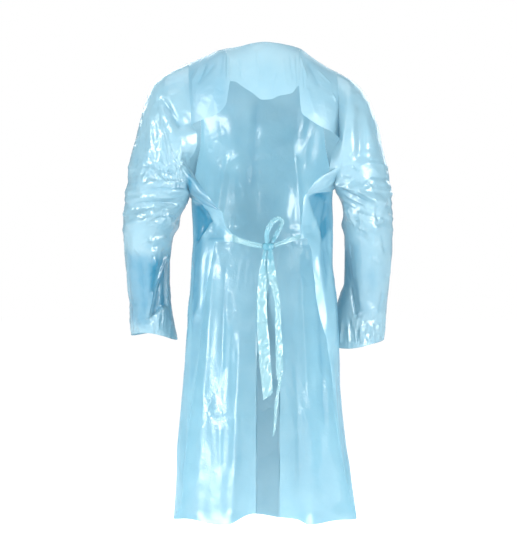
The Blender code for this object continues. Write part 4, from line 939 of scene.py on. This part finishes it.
def seam_start(edge, outward, past, leaves):
    """Where a film starts, SEAM clear of the edge that it leaves in another direction."""
    level = np.sum(leaves * past, axis=-1, keepdims=True)
    rise = np.sum(leaves * outward, axis=-1, keepdims=True)
    away = unit(past * level + outward * rise)
    turn = np.arccos(np.clip(np.sum(away * past, axis=-1, keepdims=True), -1, 1))
    ahead = edge + away * (SEAM + FILM / 2 * np.maximum(np.sin(turn), FACET_TURN))
    above = edge + outward * (SEAM + FILM / 2 * (1 - np.cos(turn)))
    return np.where(turn < math.pi / 2, ahead, above)


def sleeve_section(side, step, around):
    """Points of one of the sleeve's sections, `around` degrees from its outer end."""
    row = {name: float(line(step)) for name, line in SLEEVE[side].items()}
    outer = np.array((side * row["outer_x"], row["middle_y"], row["outer_z"]))
    inner = np.array((side * row["inner_x"], row["middle_y"], row["inner_z"]))
    angle = np.radians(around)
    points = (outer + inner) / 2 + (outer - inner) / 2 * np.cos(angle)[:, None]
    points[:, 1] -= row["deep"] * np.sin(angle)
    if step == CUFF_STEP:
        points[:, 2] += CUFF_WAVE * np.sin(2 * angle + side)
    return points


def sleeve_grid(side):
    """A sleeve lofted from the armhole through its sections to the cuff."""
    around, edge, outward, past = armhole(side)
    steps = list(range(CUFF_STEP + 1))
    sections = [sleeve_section(side, step, around) for step in steps[1:]]
    sections.insert(0, seam_start(edge, outward, past, unit(sections[0] - edge)))
    rows = np.linspace(0, CUFF_STEP, SLEEVE_ROWS + 1)
    grid = Line(steps, np.array(sections))(rows)
    out = grid - grid.mean(axis=1, keepdims=True)
    out[..., 2] = 0
    easing = np.minimum(rows / FOLDS_FROM_STEP, 1.0)[:, None, None]
    grid = mix(grid, folded(grid, unit(out), SLEEVE_FOLDS[side]), easing)
    grid = np.concatenate([grid, grid[:, :1]], axis=1)
    return grid if side > 0 else grid[:, ::-1]


def clear_of_knot(points):
    """The points, with those in the knot or too near it moved the seam's width outside it."""
    off = points - KNOT_MIDDLE
    level = np.sum((np.abs(off) / KNOT_SIZE) ** (2 / KNOT_SQUARE), axis=-1, keepdims=True)
    reach = np.linalg.norm(off, axis=-1, keepdims=True)
    least = reach / np.maximum(level, 1e-9) ** (KNOT_SQUARE / 2) + KNOT_GAP
    return np.where(reach > least, points, KNOT_MIDDLE + off / reach * least)


def band_grid(band, across=None, slant=0.0, start=None, gather=TIE_GATHER):
    """A gathered band of film along its own middle line, its gathers running along it.

    across is the direction of its width, or None for square to the line, and start is its first
    row of points where that is settled elsewhere.
    """
    last = band["x"].stations[-1]
    steps = np.linspace(0, last, int(last * BAND_ROWS) + 1)
    middle = np.stack([band[axis](steps) for axis in "xyz"], axis=-1)
    ahead = np.minimum(steps + NEAR, last)
    forward = [band[axis](ahead) - band[axis](ahead - NEAR) for axis in "xyz"]
    forward = unit(np.stack(forward, axis=-1))
    square = unit(np.cross(forward, (0.0, 1.0, 0.0)))
    aside = square if across is None else np.array([across] * len(steps))
    facing = unit(np.cross(aside, forward))
    half = band["half"](steps)[:, None]
    shares = np.linspace(-1, 1, BAND_POINTS)[None, :]
    points = middle[:, None, :] + aside[:, None, :] * (half * shares)[..., None]
    points[..., 1] -= half * BAND_BULGE * (1 - shares**2)
    steps = steps[:, None]
    points[..., 2] += slant * shares * np.maximum(0.0, 2 * steps / last - 1) / 2
    # The gathers are two waves across the band that wander and swell unevenly along it, with
    # short pinches between them
    height, count = gather
    wander = 1.5 * np.sin(1.7 * steps) + 0.9 * np.sin(4.3 * steps + 1)
    wave = np.sin(np.pi * count * shares + wander)
    wave = wave + 0.45 * np.sin(np.pi * 1.7 * count * shares - 2 * wander)
    wave = wave * (0.6 + 0.4 * np.sin(3.1 * steps + 0.7))
    pinches = 0.7 * np.sin(9.0 * steps + 2.2 * np.sin(2.3 * steps)) * np.cos(2.2 * shares + steps)
    settled = np.minimum(1.0, steps) * np.minimum(1.0, half / FULL_GATHER)
    points = points + facing[:, None, :] * (height * settled * (wave + pinches))[..., None]
    points = clear_of_knot(points)
    if start is not None:
        points = points + (start - points[0]) * eased(1 - 2 * steps)[..., None]
    return points


def tie_grid(side, band):
    """A waist tie, from the flap's end to the knot."""
    start = tie_start(side, BAND_POINTS)
    start[:, 0] -= side * (SEAM + FACET_TURN * FILM / 2)
    return band_grid(band, (0.0, 0.0, 1.0), start=start)


def tie_start(side, count):
    """Points along the flap's end, where the tie leaves it."""
    heights = np.linspace(TIE_FOOT[side], TIE_HEAD, count)
    return wrapped(side * FLAP_EDGE[side](heights), heights)


def knot_grid():
    """The knot of the half bow, a small bundle of film wrapped once round."""
    around = np.linspace(0, 2 * np.pi, KNOT_POINTS)[None, :]
    down = np.linspace(0, np.pi, KNOT_ROWS)[:, None]
    ball = (np.sin(down) * np.cos(around), -np.sin(down) * np.sin(around), np.cos(down))
    ball = np.stack(np.broadcast_arrays(*ball), axis=-1)
    points = np.sign(ball) * np.abs(ball) ** KNOT_SQUARE * KNOT_SIZE
    wraps = np.sin(5 * np.pi * ball[..., 0] + 2.5 * ball[..., 2]) * (1 - np.abs(ball[..., 2]) ** 4)
    folds = np.sin(7 * around + 3 * ball[..., 0])
    puckers = 1 + KNOT_WRAP * wraps + KNOT_FOLD * folds * np.sin(down)
    return points * puckers[..., None] + KNOT_MIDDLE


def seen_from(face, points, outward):
    """Places across a face, and how far the film there faces it."""
    level, square = (0, 1) if abs(face) == 1 else (1, 0)
    return points[:, level], np.clip(math.copysign(2, face) * outward[:, square], 0.0, 1.0)


def crease_lift(points, outward, creases):
    """How far creases lift the film."""
    lift = np.zeros(len(points))
    for face, *ends, width, height, bow, crisp in creases:
        across, facing = seen_from(face, points, outward)
        along, beside, _ = beside_run(across, points[:, 2], ends)
        inside = np.clip(along, 0.0, 1.0)
        beside = beside - bow * 4 * inside * (1 - inside)
        soft = np.exp(-((beside / width) ** 2))
        sharp = np.exp(-CREST * np.abs(beside) / width)
        tips = eased(along / CREASE_END) * eased((1 - along) / CREASE_END)
        lift += height * facing * tips * mix(soft, sharp, crisp)
    return lift


def inside_share(points, corners, soft):
    """How far inside a corner-to-corner outline the points lie, from 0 at its edge to 1."""
    least = np.full(len(points), 1.0)
    for corner, following in zip(corners, corners[1:] + corners[:1]):
        inwards = beside_run(points[:, 0], points[:, 2], corner + following)[1]
        least = np.minimum(least, eased(inwards / soft))
    return least


def seam_spots():
    """Points along the welds and the shoulder line, where creases fade out."""
    spots = [armhole(side)[1] for side in (-1, 1)]
    x = np.linspace(SLIT_TOP, ARMHOLE_TOP, RIDGE_SPOTS)
    for side in (-1, 1):
        spots.append(np.stack([side * x, np.full_like(x, BODY_Y), RIDGE(side * x)], axis=-1))
        spots.append(tie_start(side, TIE_SPOTS))
    tree = KDTree(sum(len(part) for part in spots))
    for i, spot in enumerate(np.concatenate(spots)):
        tree.insert(spot, i)
    tree.balance()
    return tree


def facet_noise(place, size, bend):
    """Sharp-edged facets of crumpled film, from -1 at their edges."""
    facet = Vector([c / s for c, s in zip(place, size)])
    facet += bend * noise.noise_vector(facet * BEND_PACE, noise_basis="PERLIN_ORIGINAL")
    return noise.noise(facet, noise_basis="VORONOI_F2F1")


def crumples(points, outward, patches):
    """How far crushed patches press the film in between sharp ridges, and how crushed it is."""
    depth = np.zeros(len(points))
    gloss = np.zeros(len(points))
    for face, middle, z, half_width, half_height, height, width, length in patches:
        across, facing = seen_from(face, points, outward)
        reach = ((across - middle) / half_width) ** 2 + ((points[:, 2] - z) / half_height) ** 2
        share = facing * np.exp(-PATCH_FALL * reach)
        gloss = np.maximum(gloss, share)
        for i in np.flatnonzero(share > PATCH_END):
            pressed = facet_noise(points[i], (width, width, length), PATCH_BEND) + FACET_MIDDLE
            depth[i] += height * share[i] * pressed
    return depth, gloss


def joined(name, grids, turned):
    """The mesh of all the grids, with the points that they share merged."""
    faces = []
    start = 0
    for grid in grids:
        rows, width = grid.shape[:2]
        corner = start + np.arange(rows - 1)[:, None] * width + np.arange(width - 1)[None, :]
        order = (0, width, width + 1, 1) if turned else (0, 1, width + 1, width)
        faces.append(np.stack([corner + step for step in order], axis=-1).reshape(-1, 4))
        start += rows * width
    vertices = np.concatenate([grid.reshape(-1, 3) for grid in grids])
    mesh = bpy.data.meshes.new(name)
    mesh.from_pydata(vertices.tolist(), [], np.concatenate(faces).tolist())
    shape = bmesh.new()
    shape.from_mesh(mesh)
    bmesh.ops.remove_doubles(shape, verts=shape.verts, dist=MERGE)
    bmesh.ops.dissolve_degenerate(shape, dist=MERGE / 10, edges=shape.edges)
    shape.to_mesh(mesh)
    shape.free()
    return mesh


def vectors_of(mesh, kind):
    values = np.empty(len(mesh.vertices) * 3)
    mesh.vertices.foreach_get(kind, values)
    return values.reshape(-1, 3)


def linked(name, data):
    """A new object with this data, in the scene."""
    made = bpy.data.objects.new(name, data)
    bpy.context.scene.collection.objects.link(made)
    return made


def film_piece(
    name,
    grids,
    turned,
    bunched,
    creases=(),
    recesses_and_shade=(),
    patches=(),
    swell=0.0,
    facets=0.0,
    stretch=(0.03, 0.03, 0.03),
):
    """A thin closed shell of film through grids of points, as it was handled.

    turned is True where the columns run to +X over the back, so that the faces turn outwards.
    """
    mesh = joined(name, grids, turned)
    points = vectors_of(mesh, "co")
    outward = vectors_of(mesh, "normal")
    from_knot = np.linalg.norm(points - KNOT_MIDDLE, axis=1)
    layers_and_painted_shade = bunched * np.exp(-((from_knot / BUNCH_REACH) ** 2))
    gloss = np.full(len(points), BAND_GLOSS if bunched else 0.0)
    if creases:
        near = np.array([SEAMS.find(point)[2] for point in points])
        fade = eased((near - FADE_START) / CREASE_FADE)
        lift = crease_lift(points, outward, creases)
        # Painted shade: the troughs of creases are coloured a deeper blue
        layers_and_painted_shade += np.clip(-lift / FULL_TROUGH, 0.0, 1.0) * TROUGH_SHADE
        # Hollows press the film in by their depth and darken its colour with painted shade
        for face, corners, soft, depth, shade in recesses_and_shade:
            facing = seen_from(face, points, outward)[1]
            share = inside_share(points, corners, soft) * facing
            lift -= depth * share
            layers_and_painted_shade += shade * share
        depth, gloss = crumples(points, outward, patches)
        for i, point in enumerate(points):
            place = Vector(point) / SWELL_SIZE
            lift[i] += swell * noise.noise(place, noise_basis="PERLIN_ORIGINAL")
            lift[i] -= facets * facet_noise(point, stretch, FILM_BEND)
        points = points + outward * ((lift - depth) * fade)[:, None]
        mesh.vertices.foreach_set("co", points.ravel())
    # The first attribute is how deep the colour is: film lying in layers at the knot, and painted
    # shade in troughs and hollows
    for kind, values in (("layers_and_painted_shade", layers_and_painted_shade), ("gloss", gloss)):
        attribute = mesh.attributes.new(kind, "FLOAT", "POINT")
        attribute.data.foreach_set("value", np.clip(values, 0.0, 1.0))
    mesh.update()
    mesh.shade_smooth()
    piece = linked(name, mesh)
    shell = piece.modifiers.new("film", "SOLIDIFY")
    shell.thickness = FILM
    shell.offset = 0.0
    graph = bpy.context.evaluated_depsgraph_get()
    piece.data = bpy.data.meshes.new_from_object(piece.evaluated_get(graph))
    piece.modifiers.clear()
    # The cut edges stay sharp, or the shading of the film beside them would bend
    piece.data.set_sharp_from_angle(angle=math.radians(SHARP))
    bpy.data.meshes.remove(mesh)
    return piece


def linear(colour):
    """An sRGB hex colour as linear red, green, blue and alpha."""
    parts = [int(colour[i : i + 2], 16) / 255 for i in (1, 3, 5)]
    return (*[c / 12.92 if c <= 0.04045 else ((c + 0.055) / 1.055) ** 2.4 for c in parts], 1.0)


def node(tree, kind, inputs=None, out=0, **settings):
    """An output of a new shader node, whose inputs are values or the sockets they link to."""
    made = tree.nodes.new("ShaderNode" + kind)
    for name, value in settings.items():
        setattr(made, name, value)
    for name, value in (inputs or {}).items():
        if isinstance(value, bpy.types.NodeSocket):
            tree.links.new(value, made.inputs[name])
        else:
            made.inputs[name].default_value = value
    return made.outputs[out] if made.outputs else None


def new_material(name):
    """A material with no nodes, and the function that adds one to it."""
    made = bpy.data.materials.new(name)
    made.use_nodes = True
    made.node_tree.nodes.clear()
    return made, partial(node, made.node_tree)


def embossed_film(name, pale, deep, roughness, glow, clear, skin=0.5):
    """Blown polyethylene film, pigmented pale blue and embossed between rollers.

    Its smooth skin gives bright streaks along the creases. Light passes through it and spreads,
    and where it lies double it looks a deeper blue; the same deeper blue is painted into the
    troughs of its creases and into its hollows as shade.
    """
    made, add = new_material(name)
    place = add("TexCoord", out="Object")
    layers_and_painted_shade = add("Attribute", out="Fac", attribute_name="layers_and_painted_shade")

    def ranged(value, low, high, start=0.0, end=1.0):
        ends = {"From Min": start, "From Max": end, "To Min": low, "To Max": high}
        return add("MapRange", {"Value": value, **ends})

    def bump(height, strength, distance, normal=None):
        sockets = {"Height": height, "Strength": strength, "Distance": distance}
        return add("Bump", {**sockets, "Normal": normal} if normal else sockets)

    def crinkles(scale, detail, roughness, distortion):
        sockets = {"Vector": place, "Scale": scale, "Detail": detail}
        sockets |= {"Roughness": roughness, "Distortion": distortion}
        return add("TexNoise", sockets, noise_type="RIDGED_MULTIFRACTAL")

    # Uneven thickness of blown film, in clouds of about 60 mm
    clouds = add("TexNoise", {"Vector": place, "Scale": 16.0, "Detail": 3.0})
    uneven = ranged(clouds, 0.0, 0.2, 0.3, 0.7)
    # The colour deepens with film lying in layers, with painted shade in troughs and hollows, and
    # with the film's uneven thickness
    share = add("Math", {0: layers_and_painted_shade, 1: uneven}, operation="ADD", use_clamp=True)
    shades = {"Factor": share, 6: linear(pale), 7: linear(deep)}
    colour = add("Mix", shades, 2, data_type="RGBA")
    # Emboss points lie about 0.8 mm apart; they are drawn 3.5 mm apart so that they show at all
    sockets = {"Vector": place, "Scale": 285.0, "Smoothness": 0.6}
    emboss = bump(add("TexVoronoi", sockets, feature="SMOOTH_F1"), 0.08, 0.0006)
    # Fine sharp-edged crinkles of handled film, 10 to 25 mm across
    handled = bump(crinkles(38.0, 3.0, 0.55, 0.9), 0.30, 0.0022, emboss)
    # Sharper crinkles of 4 to 10 mm where the film was crushed, which shines more there
    crushed = add("Attribute", out="Fac", attribute_name="gloss")
    sharp = add("Math", {0: crinkles(95.0, 2.0, 0.5, 1.2), 1: crushed}, operation="MULTIPLY")
    normal = bump(sharp, 0.55, 0.0014, handled)
    sockets = {
        "Base Color": colour,
        "Roughness": ranged(crushed, roughness, 0.2),
        "IOR": 1.51,
        "Specular IOR Level": 1.0,
        "Coat Weight": skin,
        "Coat Roughness": 0.2,
        "Normal": normal,
        "Coat Normal": normal,
    }
    surface = add("BsdfPrincipled", sockets)
    spread = add("BsdfTranslucent", {"Color": colour, "Normal": normal})
    hazy = add("MixShader", {0: glow, 1: surface, 2: spread})
    through = add("BsdfTransparent", {"Color": linear("#e4f1f5")})
    # Doubled film lets less light straight through, and so does film where shade is painted
    film = add("MixShader", {0: ranged(share, clear, 0.3 * clear), 1: hazy, 2: through})
    add("OutputMaterial", {"Surface": film})
    return made


def studio_floor():
    """A plain pale floor well below the hem."""
    mesh = bpy.data.meshes.new("floor")
    signs = ((-1, -1), (1, -1), (1, 1), (-1, 1))
    corners = [(x * FLOOR_HALF, y * FLOOR_HALF, FLOOR_Z) for x, y in signs]
    mesh.from_pydata(corners, [], [(0, 1, 2, 3)])
    floor = linked("floor", mesh)
    made, add = new_material("white_studio_floor")
    sockets = {"Base Color": linear("#ffffff"), "Roughness": 1.0, "Specular IOR Level": 0.0}
    add("OutputMaterial", {"Surface": add("BsdfPrincipled", sockets)})
    mesh.materials.append(made)


def soft_light(name, place, aim, size, power):
    lamp = bpy.data.lights.new(name, "AREA")
    lamp.shape = "DISK"
    lamp.size = size
    lamp.energy = power
    light = linked(name, lamp)
    light.location = place
    light.rotation_euler = (Vector(aim) - Vector(place)).to_track_quat("-Z", "Y").to_euler()
    light.visible_camera = False


def studio():
    """White backdrop, brighter than the light it gives, and soft lights behind and in front."""
    scene = bpy.context.scene
    scene.view_settings.view_transform = "Standard"
    world = bpy.data.worlds.new("studio")
    world.use_nodes = True
    seen = node(world.node_tree, "LightPath", out="Is Camera Ray")
    strength = node(world.node_tree, "MapRange", {"Value": seen, "To Min": AROUND, "To Max": 1.0})
    backdrop = world.node_tree.nodes["Background"]
    backdrop.inputs["Color"].default_value = (1.0, 1.0, 1.0, 1.0)
    world.node_tree.links.new(strength, backdrop.inputs["Strength"])
    scene.world = world
    studio_floor()
    top = bpy.data.lights.new("ceiling", "SUN")
    top.energy = 1.7
    top.angle = math.radians(60)
    linked("ceiling", top).visible_camera = False
    soft_light("key", (-3.2, -3.35, 0.4), (-0.1, 0.0, -0.4), 2.4, 232.0)
    soft_light("fill", (3.0, -3.3, -0.8), (0.1, 0.0, -0.5), 2.2, 220.0)
    soft_light("front_key", (-1.7, 3.3, 1.7), (0.0, 0.0, -0.5), 2.4, 90.0)
    soft_light("front_fill", (2.0, 3.5, 1.3), (0.0, 0.0, -0.5), 2.4, 50.0)
    lens = bpy.data.cameras.new("camera")
    lens.sensor_width = 36.0
    lens.lens = lens.sensor_width * FOCAL_PIXELS / PHOTO_HEIGHT
    scene.camera = linked("camera", lens)
    scene.camera.location = CAMERA
    scene.camera.rotation_euler = (math.pi / 2, 0.0, 0.0)


def main():
    studio()
    # Each film's pale colour and its deep one, which is used for film in layers and for painted
    # shade
    film = {
        slot: embossed_film("embossed_polyethylene_" + slot, *look)
        for slot, look in {
            "film_panel": ("#9cc7d5", "#4390ae", 0.27, 0.45, 0.24),
            "film_back": ("#a1c4d0", "#4d95b1", 0.42, 0.38, 0.25, 0.12),
            "film_sleeve": ("#a2c5d1", "#4390ae", 0.27, 0.40, 0.25),
            "film_tie": ("#a2c7cd", "#449fb8", 0.26, 0.40, 0.34),
        }.items()
    }
    slant = {"across": (1.0, 0.0, 0.0), "slant": TAIL_SLANT, "gather": TAIL_GATHER}
    shapes = {
        "tie_knot": [knot_grid()],
        "front_panel": front_panel_grids(),
        "back_yoke": [yoke_grid()],
        "shoulder_left": [shoulder_grid(-1)],
        "shoulder_right": [shoulder_grid(1)],
        "sleeve_left": [sleeve_grid(-1)],
        "sleeve_right": [sleeve_grid(1)],
        "tie_left": [tie_grid(-1, TIE_LEFT)],
        "tie_right": [tie_grid(1, TIE_RIGHT)],
        "tie_loop": [band_grid(LOOP)],
        "tie_tail_left": [band_grid(TAIL_LEFT, **slant)],
        "tie_tail_right": [band_grid(TAIL_RIGHT, **slant)],
    }
    for name, grids in shapes.items():
        turned = name not in ("front_panel", "sleeve_left", "sleeve_right", "tie_knot")
        handled = HANDLED.get(name, {})
        piece = film_piece(name + "_film", grids, turned, BUNCHED.get(name, 0.0), **handled)
        slot, held, width, length, area = CUTS[name]
        piece.data.materials.append(film[slot])
        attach(piece, "root")
        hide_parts(name)


noise.seed_set(SEED)
SEAMS = seam_spots()
main()
